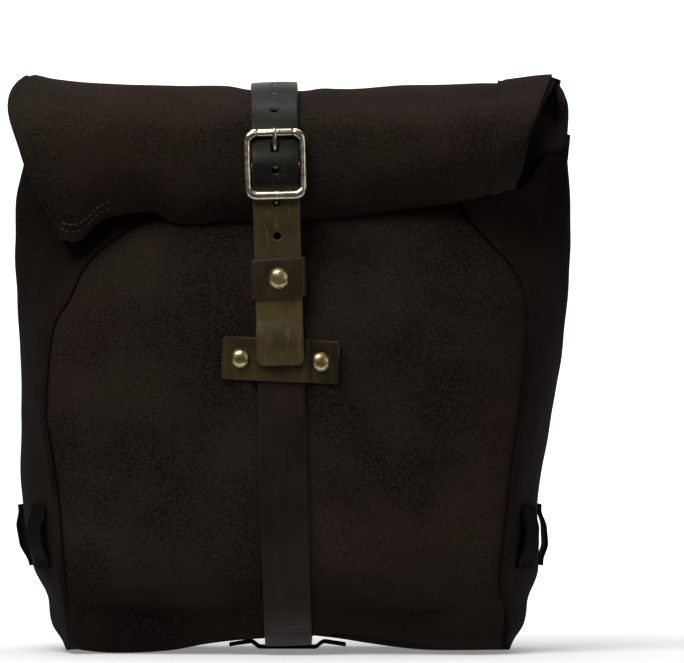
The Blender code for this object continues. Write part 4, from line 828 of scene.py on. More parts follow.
def front_panel():
    """The front, from under the roll down and round the lower corner."""
    columns = seam_spacing(110)
    grid = []
    for i in range(104):
        row = []
        for c in columns:
            top = roll_low(c * front_half(-1 if c < 0 else 1, 0.282)) + 0.0032
            row.append(front_point(c, top + (CORNER_TOP - top) * i / 103))
        grid.append(row)
    steps = 16
    for k in range(1, steps + 1):
        angle = math.pi / 2 * k / steps
        row = []
        for c in columns:
            start = front_point(c, CORNER_TOP)
            low = front_floor(start.x)
            z = low + (CORNER_TOP - low) * (1 - math.sin(angle))
            row.append(Vector((start.x * (1 - 0.012 * math.sin(angle)),
                               start.y + CORNER * (1 - math.cos(angle)), z)))
        grid.append(row)
    # The front panel's rim takes the suede with painted seam shade.
    piece = hide("front_panel_skin", grid, PANEL, ("suede", "suede_seam_painted_shade"))
    return place(piece, "bag", "suede", "front_panel")


def corner_depth(z, low):
    """How far the rounded lower corner has turned under at a height."""
    t = min(1.0, max(0.0, (z - low) / (CORNER_TOP - low)))
    return CORNER * (1 - math.sqrt(1 - (1 - t) ** 2))


def gusset_section(side, z, s):
    """Half width and depth of a gusset's outer face: s runs from 0 at the front seam to 1 at the back."""
    start = seam_y(max(z, CORNER_TOP)) + 0.0008 + corner_depth(z, 0.0056)
    end = BACK_Y - PANEL - GAP - corner_depth(z, 0.0)
    wide = widest(z) + side * drift(z) + 0.0036 - (0.0040 - 0.0020 * side) * ease(z, 0.292, 0.325)
    front = front_half(side, z) + 0.0006
    if s < 0.5:
        t = 2 * s
        return front + (wide - front) * (1 - (1 - t) ** 1.8), start + (MID_Y - start) * t
    t = 2 * s - 1
    return wide - (BACK_INSET + side * drift(z)) * t ** 2.2, MID_Y + (end - MID_Y) * t


def gusset_top(s):
    """Height of a gusset's upper edge: tucked up into the roll, high behind it."""
    return 0.3000 + 0.0240 * ease(s, 0.16, 0.34) + 0.0060 * ease(s, 0.5, 1.0)


def gusset_point(side, z, s):
    """A point of a gusset's outer face, with its waves, folds and pressed seam."""
    x, y = gusset_section(side, z, s)
    ahead, behind = gusset_section(side, z, min(1.0, s + 0.01)), gusset_section(side, z, max(0.0, s - 0.01))
    length = math.dist(ahead, behind)
    nx, ny = (ahead[1] - behind[1]) / length, -(ahead[0] - behind[0]) / length
    from_seam = s * 0.16
    out = 0.0016 * waves(side * 0.2, y, z, 0.060, 5.3 + side) + 0.0007 * waves(side * 0.2, y, z, 0.022, 2.2)
    out -= 0.0035 * bell(s - 0.30, 0.09) * ease(z, 0.190, 0.290)
    out -= 0.0016 * bell(z - 0.034, 0.008) * ease(s, 0.0, 0.3)
    out *= ease(from_seam, 0.0, 0.012)
    out -= 0.0017 * bell(from_seam, 0.0022)
    return Vector((side * (x + nx * out), y + ny * out, z))


def gusset(name, side, node):
    columns = [1 - math.cos(math.pi / 2 * j / 54) for j in range(55)]
    grid = []
    for i in range(96):
        t = i / 95
        row = []
        for s in columns:
            low = 0.0012 + 0.0050 * ease(s, 0.20, 0.0)
            z = low + (gusset_top(s) - low) * t ** 1.15
            row.append(gusset_point(side, z, s))
        grid.append(row)
    # The gussets take the suede copy with painted side shade.
    piece = hide(name, grid, PANEL, ("suede_painted_side_shade", "suede_seam_painted_shade"))
    return place(piece, "bag", "suede", node)


def back_panel():
    """The back, from its upper edge down and round the lower corner."""
    columns = seam_spacing(60)
    grid = []
    for i in range(71):
        z = BACK_TOP - (BACK_TOP - CORNER_TOP) * i / 70
        half = widest(z) - BACK_INSET
        row = []
        for c in columns:
            dent = 0.0009 * min(0.0, waves(c * half, 1.0, z, 0.06, 4.4))
            seam = 0.0016 * bell(half * (1 - abs(c)), 0.0022)
            row.append(Vector((c * half, BACK_Y + dent - seam, z)))
        grid.append(row)
    for k in range(1, 13):
        angle = math.pi / 2 * k / 12
        half = widest(CORNER_TOP * (1 - math.sin(angle))) - BACK_INSET
        row = []
        for c in columns:
            x = c * half
            low = floor_z(x)
            row.append(Vector((x, BACK_Y - CORNER * (1 - math.cos(angle)),
                               low + (CORNER_TOP - low) * (1 - math.sin(angle)))))
        grid.append(row)
    piece = hide("back_panel_skin", grid, PANEL)
    return place(piece, "bag", "suede", "back_panel")


def bottom_panel():
    """The bottom, which follows the front's uneven edge ahead and the even arch behind."""
    columns = [2 * j / 60 - 1 for j in range(61)]
    grid = []
    rows = 30
    for i in range(rows + 1):
        t = i / rows
        row = []
        for c in columns:
            half = 0.1385 + 0.006 * math.sin(math.pi * t)
            x = c * half
            front = front_point(c * 0.99, CORNER_TOP).y + CORNER - 0.002
            y = front + (BACK_Y - CORNER + 0.002 - front) * t
            low = front_floor(x) + (floor_z(x) - front_floor(x)) * ease(t, 0.0, 0.35)
            low += 0.0008 + 0.0010 * abs(waves(x, y, 0.0, 0.05, 9.0)) * math.sin(math.pi * t)
            row.append(Vector((x, y, low)))
        grid.append(row)
    piece = hide("bottom_panel_skin", grid, PANEL)
    return place(piece, "bag", "suede", "bottom_panel")


def liner():
    """The thin inner bag, open at the top, with a turned hem."""
    around, wall, low, high = 96, 0.0012, 0.0185, 0.262
    front_end, right_end_at, back_end = 0.34, 0.50, 0.84
    back_half, back_y = 0.115, 0.0638
    levels = [low + (high - low) * (i / 40) ** 1.1 for i in range(41)]

    def beside(side, z, s):
        x, y = gusset_section(side, z, s)
        return side * (x - 0.0066), min(y + 0.0055, back_y)

    def ring(z, inset):
        """One level of the cloth, counted from the left front seam round to it again."""
        points = []
        for k in range(around):
            t = k / around
            if t < front_end:
                c = 2 * t / front_end - 1
                x = c * (min(front_half(-1, z), front_half(1, z)) - 0.010)
                y = seam_y(z) + (crown_y(z) - seam_y(z)) * (1 - abs(c) ** CROWN) + 0.0076
                y += 0.0165 * ease(z, 0.075, 0.030)
            elif t < right_end_at:
                x, y = beside(1, z, 0.05 + 0.88 * (t - front_end) / 0.16)
            elif t < back_end:
                x, y = back_half * (1 - 2 * (t - right_end_at) / 0.34), back_y
            else:
                x, y = beside(-1, z, 0.93 - 0.88 * (t - back_end) / 0.16)
            pull = 1.0 - inset / 0.12
            wrinkle = 0.0010 * waves(x, y, z * 0.5, 0.018, 1.3) + 0.0006 * waves(x, y, z, 0.045, 6.1)
            inward = 0.0018 + wrinkle if y > 0.06 else -abs(wrinkle)
            points.append(Vector((x * pull * (1 - abs(wrinkle)), y * pull - inward, z)))
        return points

    rows = [ring(low, 0.010)] + [ring(z, 0.0) for z in levels]
    rows += [ring(high, 0.0006), ring(high + 0.0008, wall), ring(high, wall + 0.0004)]
    rows += [ring(z, wall) for z in reversed(levels[2:])]
    rows.append([Vector((p.x, p.y, low + wall)) for p in ring(levels[1], 0.010 + wall)])
    vertices = [p for row in rows for p in row]
    faces = grid_faces(len(rows), around, wrap=True)
    faces.append(tuple(range(around)))
    faces.append(tuple(len(vertices) - 1 - k for k in range(around)))
    piece = new_piece("liner_cloth", vertices, faces, ("lining",), 60.0)
    return place(piece, "bag", "lining", "liner")


# The rolled top ------------------------------------------------------------------------------
INNER_TURNS = [(-0.0060, 0.3455), (-0.0230, 0.3560), (-0.0470, 0.3560), (-0.0680, 0.3485), (-0.0825, 0.3370),
               (-0.0870, 0.3190), (-0.0830, 0.3040), (-0.0740, 0.2920), (-0.0600, 0.2850), (-0.0440, 0.2835),
               (-0.0280, 0.2895), (-0.0180, 0.3010), (-0.0145, 0.3170), (-0.0160, 0.3330), (-0.0300, 0.3465),
               (-0.0500, 0.3480), (-0.0680, 0.3390), (-0.0775, 0.3230), (-0.0740, 0.3060), (-0.0600, 0.2940),
               (-0.0430, 0.2910)]


def spiral_path():
    """Middle of the rolled sheet, seen from the side: from the back edge over the top, round, and in."""
    outer = list(reversed(offset(smooth_path(ROLL_PROFILE, 0.0040), -0.0013)))[1:]
    clear = [(y, z) for y, z in outer if not (-0.010 < y < -0.001 and 0.343 < z < 0.352)]
    return smooth_path(clear[::2] + INNER_TURNS, 0.0036)


def roll_shift(x, y, z):
    """The roll's uneven outline: its lower and upper edges rise and fall along its length."""
    low = ease(z, 0.3580, 0.2780)
    high = ease(z, 0.3400, 0.3640) * ease(y, 0.060, 0.020)
    front = ease(y, -0.020, -0.050)
    beside = ease(abs(x - BELT_AT_ROLL), 0.016, 0.032)
    rise = low * (roll_low(x) - ROLL_LOWEST) * (0.35 + 0.65 * front)
    return rise + high * (roll_high(x) - ROLL_HIGHEST + 0.0012 * beside)


def roll_relief(x, y, z):
    """How far the roll's leather stands out: waves, a fold near its left end, pressed flat under the belt."""
    value = 0.0019 * waves(x, y, z, 0.085, 8.4) + 0.0008 * waves(x, y, z, 0.030, 1.9)
    value += 0.0011 * waves(x * 0.35, y, z, 0.020, 5.0) * ease(z, 0.33, 0.30)
    value -= 0.0020 * bell(x + left_end(z) - 0.0085, 0.0028)
    beside = ease(abs(x - BELT_AT_ROLL), 0.017, 0.034)
    return min(0.0, value) * (0.4 + 0.6 * beside) + max(0.0, value) * beside


def roll_point(path, ways, i, c):
    """A point of the roll's outer face: i along the spiral, c from -1 at the left end to 1 at the right."""
    y, z = path[i]
    out_y, out_z = -ways[i][1], ways[i][0]
    end = left_end if c < 0 else right_end
    x = c * end(z)
    for _ in range(3):
        x = c * end(z + roll_shift(x, y, z))
    swell = roll_relief(x, y, z)
    return Vector((x, y + out_y * swell, z + out_z * swell + roll_shift(x, y, z)))


def roll():
    """The rolled sheet. Returns its path, and ways whose (-second, first) points outward."""
    path = spiral_path()
    ways = [(-a, -b) for a, b in directions(path)]
    columns = [-1 + 2 * j / 150 for j in range(151)]
    grid = [[roll_point(path, ways, i, c) for c in columns] for i in range(len(path))]
    piece = hide("roll_skin", grid, PANEL, rounding=0.0007, inside=ROLL_MIDDLE)
    place(piece, "roll_top", "suede", "roll_top")
    return path, ways


def roll_front(path, ways, x, z_wanted):
    """The place on the roll's front face at a height, with its outward direction."""
    c = x / (left_end(z_wanted) if x < 0 else right_end(z_wanted))
    before = None
    for i in range(round(len(path) * 0.62)):
        p = roll_point(path, ways, i, c)
        if before is not None and p.y < -0.030 and before.z > z_wanted >= p.z:
            t = (before.z - z_wanted) / (before.z - p.z)
            return before.lerp(p, t), Vector((0.0, -ways[i][1], ways[i][0]))
        before = p
    return None


def ear(path, ways):
    """The folded-in end of the roll on the right: a second layer over its front, with a free edge."""
    levels = []
    for i, (y, z) in enumerate(path):
        if y < 0.010 and (z > 0.2840 or y < -0.052):
            levels.append(i)
        elif levels:
            break
    grid = []
    for i in levels:
        y, z = path[i]
        start, end = ear_seam(z), right_end(z)
        row = []
        for j in range(25):
            t = j / 24
            x = start + (end + 0.0014 - start) * t
            p = roll_point(path, ways, i, min(1.0, x / right_end(z)))
            lift = 0.0021 + 0.0010 * math.sin(math.pi * t) + 0.0022 * t * t
            lift -= 0.0008 * bell(t - 0.06, 0.05)
            row.append(Vector((x, p.y - ways[i][1] * lift, p.z + ways[i][0] * lift)))
        grid.append(row)
    piece = hide("roll_ear", grid, 0.0020, inside=ROLL_MIDDLE)
    return place(piece, "roll_top", "suede")


def right_gusset_depth(x, z):
    """Depth of the right gusset's outer face, in front of its widest line, at a distance from the middle."""
    for k in range(51):
        wide, y = gusset_section(1, z, k / 100)
        if wide >= x:
            return y
    return MID_Y


def pleat():
    """Behind the ear: the side of the bag folded in, a deep valley and an outer strip."""
    front_line = smooth(((0.290, -0.0830), (0.303, -0.0905), (0.321, -0.0930), (0.338, -0.0910),
                         (0.3475, -0.0840), (0.3558, -0.0690), (0.3625, -0.0490), (0.3680, -0.0250)))
    outside = smooth(((0.282, 0.1700), (0.300, 0.1748), (0.314, 0.1782), (0.326, 0.1808), (0.350, 0.1812),
                      (0.362, 0.1790), (0.3720, 0.1752)))
    low, high, rows, columns = 0.2820, 0.3715, 44, 47
    grid = []
    for i in range(rows):
        rise = i / (rows - 1)
        z = low + (high - low) * rise
        front, edge, out = front_line(z), right_end(z), outside(z)
        shallow = 1 - 0.55 * ease(z, 0.345, 0.369)
        tuck = ease(z, 0.3600, 0.3180)
        section_line = smooth_path((
            (edge - 0.0010, front + 0.0030),
            (edge + 0.0006, front + 0.0120),
            (edge + 0.0022, front + 0.0260),
            ((edge + out) / 2 + 0.0010, front + 0.010 + 0.026 * shallow),
            (out - 0.0065, front + 0.010 + 0.017 * shallow),
            (out - 0.0022, front + 0.009 + 0.014 * shallow),
            (out, front + 0.0150 + 0.014 * shallow),
            (out - 0.0010, max(front + 0.048, -0.012)),
            (out - 0.0040, max(front + 0.062, 0.002))), 0.0030)
        length = lengths(section_line)[-1]
        row = []
        for k in range(columns):
            (x, y), _ = along(section_line, length * k / (columns - 1))
            ripple = 0.0008 * waves(x, y, z, 0.020, 3.3)
            y += ripple
            under = max(y, right_gusset_depth(x + 0.0015, min(z, 0.3120)) + 0.0062)
            level = z - 0.0190 * ease(k, 22, columns - 1) * rise
            row.append(Vector((x + ripple * 0.5, y + (under - y) * tuck, level)))
        grid.append(row)
    # The pleat's suede carries painted shade that darkens its valley.
    piece = hide("roll_pleat_right", grid, 0.0020, ("suede_painted_fold_shade", "suede_edge"), inside=(0.165, 0.30, 0.33))
    return place(piece, "roll_top", "suede")


def side_tuck(name, side):
    """The side of the bag folded in under the roll, between the gusset and the top sheet."""
    top = smooth(((-0.0490, 0.3625), (-0.0250, 0.3658), (0.0000, 0.3635), (0.0400, 0.3515), (0.0600, 0.3453),
                  (0.0700, 0.3410), (0.0765, 0.3360)))
    reach = 0.0950 if side < 0 else 0.0660
    grid = []
    for i in range(22):
        t = i / 21
        row = []
        for k in range(41):
            y = 0.0690 - reach * k / 40
            s = 0.5 * (y + 0.058) / 0.068 if y < MID_Y else 0.5 + 0.5 * (y - MID_Y) / 0.0625
            low, high = 0.3060 + 0.0080 * ease(y, 0.020, 0.060), top(y) - 0.0030
            z = low + (high - low) * t
            x = gusset_section(side, min(z, 0.318), s)[0] - 0.0040
            x += 0.0016 * math.sin(math.pi * t) - 0.0050 * t * t + 0.0009 * waves(side, y, z, 0.022, 4.0)
            row.append(Vector((side * x, y, z)))
        grid.append(row)
    piece = hide(name, grid, 0.0018, rounding=0.0005)
    return place(piece, "roll_top", "suede")


def collar():
    """A binding sewn along the back's upper edge."""
    path = smooth_path(((0.0757, 0.3170), (0.0760, 0.3260), (0.0767, 0.3325), (0.0757, 0.3378),
                        (0.0706, 0.3412), (0.0600, 0.3460)), 0.0016)
    grid = []
    for y, z in path:
        half = 0.1600 + 0.0100 * ease(z, 0.330, 0.346)
        across = [c * half for c in seam_spacing(90)]
        grid.append([Vector((x, y + 0.0003 * waves(x, 0, z, 0.03, 2.0), z)) for x in across])
    piece = hide("collar_binding", grid, 0.0014, rounding=0.0004)
    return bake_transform(piece)


# Belt ----------------------------------------------------------------------------------------
def on_plane(u, w):
    """(y, z) of a point of the buckle's plane, u down it and w out of it."""
    y = ROLLER_FOOT.y + u * math.sin(PLANE_TILT) - w * math.cos(PLANE_TILT)
    z = ROLLER_FOOT.z - u * math.cos(PLANE_TILT) - w * math.sin(PLANE_TILT)
    return y, z


def belt_local(point):
    """A (y, z) point in the belt's own leaning frame."""
    return point[0], point[1] - BELT_FOOT.z


def at_belt(u, w, x=0.0):
    """A point of the buckle's plane, in the frame of the whole bag."""
    y, z = belt_local(on_plane(u, w))
    return LINE @ Vector((x, y, z))


BELT_ACROSS = LINE.to_3x3() @ Vector((1.0, 0.0, 0.0))
BELT_OUT = LINE.to_3x3() @ Vector((0.0, -math.cos(PLANE_TILT), -math.sin(PLANE_TILT)))
BELT_DOWN = (at_belt(0.01, 0.0) - at_belt(0.0, 0.0)).normalized()


def patch_y(x):
    """Depth of the patch's middle layer: low beside the belt, raised over it."""
    half = PATCH_HEIGHT / 2 + 0.002
    foremost = min(crown_y(PATCH_Z + half * k / 8) for k in range(-8, 9))
    beside = foremost - 0.0005 - PATCH / 2
    over = foremost - BELT_AIR - BELT - 0.0005 - PATCH / 2
    return over + (beside - over) * ease(abs(x), 0.0166, 0.0196)


def tail_path():
    """Middle of the belt from its tip up through the buckle and over the roll to the back."""
    on_patch = patch_y(0.0) - PATCH / 2 - GAP - 0.0004 - BELT / 2
    points = [(on_patch, TIP_Z), (on_patch, 0.199), (on_patch, 0.2055)]
    below = ((0.0585, 0.0066), (0.0635, 0.0050), (0.0690, LOOP_W), (0.0760, LOOP_W), (0.0970, LOOP_W),
             (0.1170, LOOP_W))
    points += [on_plane(u, w) for u, w in reversed(LAP + below)]
    through = ((0.0150, 0.0103), (0.0100, 0.0070), (0.0055, 0.0035), (0.0, STRAP_W))
    points += [on_plane(u, w) for u, w in through]
    over = offset(smooth_path(ROLL_PROFILE, 0.0045), BELT / 2 + BELT_AIR)
    over = over[over.index(min(over)):]
    points += [(-0.0944, 0.3398)] + [p for p in over if p[1] > 0.3455 or p[0] > 0.0][:-1]
    points += [(ROLL_HINGE.y - GAP - BELT / 2, ROLL_HINGE.z + 0.0006)]
    return [belt_local(p) for p in smooth_path(points, 0.0042)]


def part_of(path, start, end, step=0.002):
    """Even points of a path between two lengths along it."""
    count = max(2, round((end - start) / step))
    return [along(path, start + (end - start) * k / count)[0] for k in range(count + 1)]


def belt_over():
    """The belt over the roll, down through the buckle to its rounded tip."""
    path = tail_path()
    total = lengths(path)[-1]
    visible = nearest(path, *belt_local(on_plane(0.0235, 0.0117)))
    prong = nearest(path, *belt_local(on_plane(0.0095, 0.0068)))
    reach = total - 0.016
    run = list(reversed(part_of(path, 0.0, reach, 0.0018)))
    piece = band("belt_tail", strap_stations(run, -1.0, TIP_RADIUS, 0.0018), BELT,
                 ("belt_olive", "belt_edge", "belt_black"), crown=0.0005)
    tools = [punch(path, visible + k * HOLE_PITCH) for k in (-2, -1, 0, 2, 3, 4)]
    tools.append(punch(path, prong, 0.0046))
    cut(piece, tools)
    for polygon in piece.data.polygons:
        if polygon.material_index == 0 and polygon.center.z > 0.3080:
            polygon.material_index = 2
    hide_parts("strap_over", "strap_tail")
    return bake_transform(piece)


def belt_back_top():
    """The short stretch of belt that bends at the back's upper edge."""
    path = tail_path()
    total = lengths(path)[-1]
    up = part_of(path, total - 0.0165, total - 0.0004)
    down = [belt_local((ROLL_HINGE.y - GAP - BELT / 2 - 0.0002, z)) for z in (0.3300, 0.3260, 0.3220, 0.3180)]
    stations = strap_stations(smooth_path(up + down, 0.002), 1.0, step=0.0012)
    piece = band("belt_back_top", stations, BELT, ("belt_black", "belt_edge"))
    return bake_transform(piece)


def belt_lower():
    """The belt from under the patch, down the front, under the bag and up its back."""
    stand = BELT / 2 + BELT_AIR
    rise = floor_z(0.0) + CORNER
    heights = (0.1815, 0.168, 0.146, 0.116, 0.086, 0.060, 0.044, 0.036)
    points = [(crown_y(z) - stand - 0.0004, z) for z in heights]
    low = rise - CORNER - stand - BELT_UNDER
    for centre_y, turn in ((crown_y(rise) + CORNER, -1), (BACK_Y - CORNER, 1)):
        corner = []
        for k in range(9):
            angle = math.pi / 2 * k / 8
            fall = (CORNER + stand + BELT_UNDER) * math.sin(angle)
            corner.append((centre_y + turn * (CORNER + stand) * math.cos(angle), rise - fall))
        if turn < 0:
            points += corner + [(y, low) for y in (-0.025, 0.0, 0.025, 0.045)]
        else:
            points += list(reversed(corner))[1:]
    heights = (0.060, 0.100, 0.140, 0.180, 0.220, 0.260, 0.300, 0.3165)
    points += [(BACK_Y + stand - 0.0002, z) for z in heights]
    path = [belt_local(p) for p in smooth_path(points, 0.004)]
    piece = band("belt_lower", strap_stations(path, -1.0), BELT, ("belt_grey", "belt_edge"))
    return place(piece, "bag", "belt_leather", "belt_main")


def buckle_strap():
    """The strap that carries the buckle: round the centre bar and back on itself."""
    wrap = BAR_RADIUS + GAP + BELT / 2
    bottom = (ROLLER_FOOT.z - 0.1830) / math.cos(PLANE_TILT)
    fold = (ROLLER_FOOT.z - FOLD_Z) / math.cos(PLANE_TILT)
    path = [(bottom, STRAP_W - 0.0004), (fold, STRAP_W), (0.105, STRAP_W), (0.080, STRAP_W), (0.055, STRAP_W),
            (0.040, STRAP_W), (0.028, STRAP_W)]
    for k in range(11):
        angle = math.pi * k / 10
        path.append((BAR_U - wrap * math.sin(angle), BAR_W - wrap * math.cos(angle)))
    under = offset(smooth_path(LAP, 0.004), -BELT - GAP - 0.00005)
    path += [p for p in under if BAR_U + 0.003 < p[0] < FOLD_END_U - 0.002] + [(FOLD_END_U, LOOP_W)]
    local = [belt_local(on_plane(u, w)) for u, w in path]
    stations = strap_stations(local, 1.0, step=0.0012)
    piece = band("belt_buckle_strap", stations, BELT, ("belt_black", "belt_edge"))
    corners = ((0.0125, -0.002), (0.0258, -0.002), (0.0258, 0.0125), (0.0125, 0.0125))
    slot_half = 0.0023
    vertices = [at_belt(u, w, x) for x in (-slot_half, slot_half) for u, w in corners]
    slot = new_piece("cutter_slot", vertices, grid_faces(2, 4, wrap=True) + [(0, 1, 2, 3), (7, 6, 5, 4)], ())
    cut(piece, [slot])
    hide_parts("belt_buckle_end")
    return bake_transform(piece)


def wire_route():
    """(x, u) points round the buckle's wire, evenly dense, starting at a lower corner."""
    wide, low, high = BUCKLE_HALF - BUCKLE_CORNER, LOW_BAR_U - BUCKLE_CORNER, BUCKLE_CORNER
    corner_steps = 8
    route = []
    for quarter, (x, u) in enumerate(((wide, low), (-wide, low), (-wide, high), (wide, high))):
        for k in range(corner_steps + 1):
            angle = math.pi / 2 * (quarter + k / corner_steps)
            route.append((x + BUCKLE_CORNER * math.cos(angle), u + BUCKLE_CORNER * math.sin(angle)))
    return filled(route, 0.0011)


def filled(outline, step):
    """A closed outline with more points along its straight stretches."""
    points = []
    for a, b in zip(outline, outline[1:] + outline[:1]):
        count = max(1, round(math.dist(a, b) / step))
        points += [(a[0] + (b[0] - a[0]) * k / count, a[1] + (b[1] - a[1]) * k / count) for k in range(count)]
    return points


def buckle_wire():
    """The cast frame: thick shoulders, a thin axle under the roller, a flattened lower bar."""
    lift = (LOW_BAR_W - ROLLER_W) / LOW_BAR_U
    axle = ROLLER_LENGTH / 2 + 0.0003
    stations = wire_route()
    centres = [at_belt(u, ROLLER_W + lift * u, x) for x, u in stations]

    def sides_of(i):
        x, u = stations[i]
        tangent = (centres[(i + 1) % len(centres)] - centres[i - 1]).normalized()
        side = tangent.cross(BELT_OUT).normalized()
        up = side.cross(tangent).normalized()
        shoulder = WIRE + (0.0029 - WIRE) * ease(u, 0.0052, 0.0020)
        thick = ease(abs(x), axle - 0.0004, axle + 0.0009) if u < 0.001 else 1.0
        radius = AXLE_RADIUS + (shoulder - AXLE_RADIUS) * thick
        flat = 1.0 + 0.28 * ease(u, LOW_BAR_U - 0.004, LOW_BAR_U - 0.0005)
        return side, up, radius * flat, radius

    ring = tube("buckle_wire", centres, sides_of, "nickel", 24, closed=True)
    place(ring, "buckle_frame", "nickel", "buckle_frame")


def buckle_bar(bar):
    """The set-back centre bar, with a round lug at each end."""
    reach = BUCKLE_HALF + 0.0006
    profile = ((0.0, -reach), (BAR_RADIUS, -reach), (BAR_RADIUS, reach), (0.0, reach))
    place(turned("buckle_centre_bar", profile, bar, BELT_ACROSS, "nickel", 28), "buckle_frame", "nickel")
    profile = ((0.0, 0.0), (0.0014, 0.0002), (0.0018, 0.0009), (0.0018, 0.0024), (0.0015, 0.0040),
               (0.0, 0.0042))
    for name, side in (("left", -1), ("right", 1)):
        foot = bar + BELT_ACROSS * (side * BUCKLE_HALF) - BELT_OUT * 0.0016
        place(turned(f"buckle_lug_{name}", profile, foot, BELT_OUT, "nickel", 28), "buckle_frame", "nickel")


def buckle_roller():
    """A rolled tube with rounded ends on the axle."""
    half, inner, outer, edge = ROLLER_LENGTH / 2, 0.0018, 0.0022, 0.0004
    profile = [(inner, -half), (outer, -half)]
    for k in range(5):
        angle = math.pi / 2 * k / 4
        profile.append((outer + edge * math.sin(angle), -half + edge * (1 - math.cos(angle))))
    profile += [(r, -h) for r, h in reversed(profile)]
    piece = turned("buckle_roller_tube", profile, at_belt(0.0, ROLLER_W), BELT_ACROSS, "nickel", 36)
    place(piece, "buckle_roller", "nickel", "buckle_roller")


def buckle_prong(bar):
    """A round prong with an eye on the centre bar, resting on the roller."""
    middle, thick = BAR_RADIUS + GAP + 0.0007, 0.00165
    corners = ((-0.0007, 0.0003 - thick), (-0.0004, -thick), (0.0004, -thick), (0.0007, 0.0003 - thick),
               (0.0007, thick - 0.0003), (0.0004, thick), (-0.0004, thick), (-0.0007, thick - 0.0003))
    profile = [(middle + r, h) for r, h in corners]
    eye = turned("prong_eye", profile, bar, BELT_ACROSS, "nickel", 36)
    place(eye, "buckle_prong", "nickel", "buckle_prong")
    route = smooth_path(((BAR_U - middle + 0.0002, 0.0053), (0.0155, 0.0060), (0.0120, 0.0072),
                         (0.0080, 0.0093), (0.0040, 0.0103), (0.0010, 0.0103), (-0.0020, 0.0099),
                         (-0.0036, 0.0094)), 0.0007)
    points = [at_belt(u, w) for u, w in route]
    taper_points = 6

    def prong_sides(i):
        ahead, behind = points[min(i + 1, len(points) - 1)], points[max(0, i - 1)]
        up = (ahead - behind).normalized().cross(BELT_ACROSS).normalized()
        left = len(points) - 1 - i
        size = 0.0014 * min(1.0, 0.30 + 0.70 * math.sin(min(1.0, left / taper_points) * math.pi / 2))
        return BELT_ACROSS, up, size, size * 0.92

    place(tube("prong_finger", points, prong_sides, "nickel", 20), "buckle_prong", "nickel")


def loop_outline(low, high, half):
    """Middle line of the keeper's flat loop, closed, as (x, w) points."""
    radius = 0.0018
    wide = half - radius
    points = []
    for quarter, (a, b) in enumerate(((wide, high - radius), (-wide, high - radius),
                                      (-wide, low + radius), (wide, low + radius))):
        for k in range(6):
            angle = math.pi / 2 * (quarter + k / 5)
            points.append((a + radius * math.cos(angle), b + radius * math.sin(angle)))
    return filled(points, 0.0016)


def keeper():
    """A leather loop round the belt, its two ends lapped in front under a rivet."""
    low = STRAP_W - BELT / 2 - GAP - KEEPER_WALL / 2
    high = LOOP_W + BELT / 2 + GAP + KEEPER_WALL / 2
    half = BELT_WIDTH / 2 + 0.0004 + KEEPER_WALL / 2
    askew = 0.55 * math.tan(math.radians(3.2))
    outline = loop_outline(low, high, half)
    total = len(outline)
    stations = []
    for i, (x, w) in enumerate(outline):
        ahead, behind = outline[(i + 1) % total], outline[i - 1]
        way = Vector((ahead[0] - behind[0], ahead[1] - behind[1])).normalized()
        out = BELT_ACROSS * way[1] - BELT_OUT * way[0]
        stations.append((at_belt(KEEPER_U - x * askew, w, x), -BELT_DOWN, out, KEEPER_LENGTH / 2))
    middle = sum((s[0] for s in stations), Vector()) / total
    stations = [(c, a, o if o.dot(c - middle) > 0 else -o, h) for c, a, o, h in stations]
    piece = band("keeper_loop", stations, KEEPER_WALL, ("belt_keeper", "belt_edge"), columns=10, closed=True)
    place(piece, "keeper", "belt_leather", "keeper")
    flap = []
    for k in range(15):
        t = k / 14
        x = -0.0035 + 0.0170 * t
        w = high + KEEPER_WALL * 0.42 + 0.0006 * math.sin(math.pi * t)
        flap.append((at_belt(KEEPER_U - x * askew, w, x), -BELT_DOWN, BELT_OUT, KEEPER_LENGTH / 2 - 0.0002))
    lap = band("keeper_lap", flap, 0.0013, ("belt_keeper", "belt_edge"), radius=0.0005, crown=0.0001)
    place(lap, "keeper", "belt_leather")
    seat = at_belt(KEEPER_U, high + KEEPER_WALL / 2 + 0.0006, 0.0004)
    rivet("keeper_rivet_cap", seat, BELT_OUT, "keeper", "keeper_rivet", 0.0066)


def rivet(name, seat, way, body, node, radius=RIVET_RADIUS + 0.0002):
    """A domed cap with a narrow rim."""
    profile = [(0.0, -0.0005), (radius * 0.97, -0.0005), (radius, 0.0), (radius, 0.0004),
               (radius * 0.95, 0.0007)]
    for k in range(1, 12):
        angle = math.pi / 2 * k / 12
        profile.append((radius * 0.93 * math.cos(angle), 0.0006 + (RIVET_DOME - 0.0006) * math.sin(angle)))
    profile.append((0.0, RIVET_DOME))
    place(turned(name, profile, Vector(seat), Vector(way), "brass", 48, 40.0), body, "brass", node)


def fold_rivet():
    """The small rivet through the folded-back end of the buckle's strap."""
    profile = ((0.0, 0.0052), (0.0023, 0.0052), (0.0024, 0.0060), (0.0019, 0.0069), (0.0010, 0.0074),
               (0.0, 0.0075))
    piece = turned("fold_rivet_cap", profile, at_belt(FOLD_RIVET_U, 0.0), BELT_OUT, "brass", 32)
    place(piece, "buckle_strap", "brass", "fold_rivet")


def patch_point(x, y, up=0.0):
    """A point in the patch's own slightly turned frame."""
    centre_x = BELT_FOOT.x - BELT_LEAN * (PATCH_Z - BELT_FOOT.z)
    return Vector((centre_x + x * math.cos(PATCH_TURN) + up * math.sin(PATCH_TURN), y,
                   PATCH_Z - x * math.sin(PATCH_TURN) + up * math.cos(PATCH_TURN)))


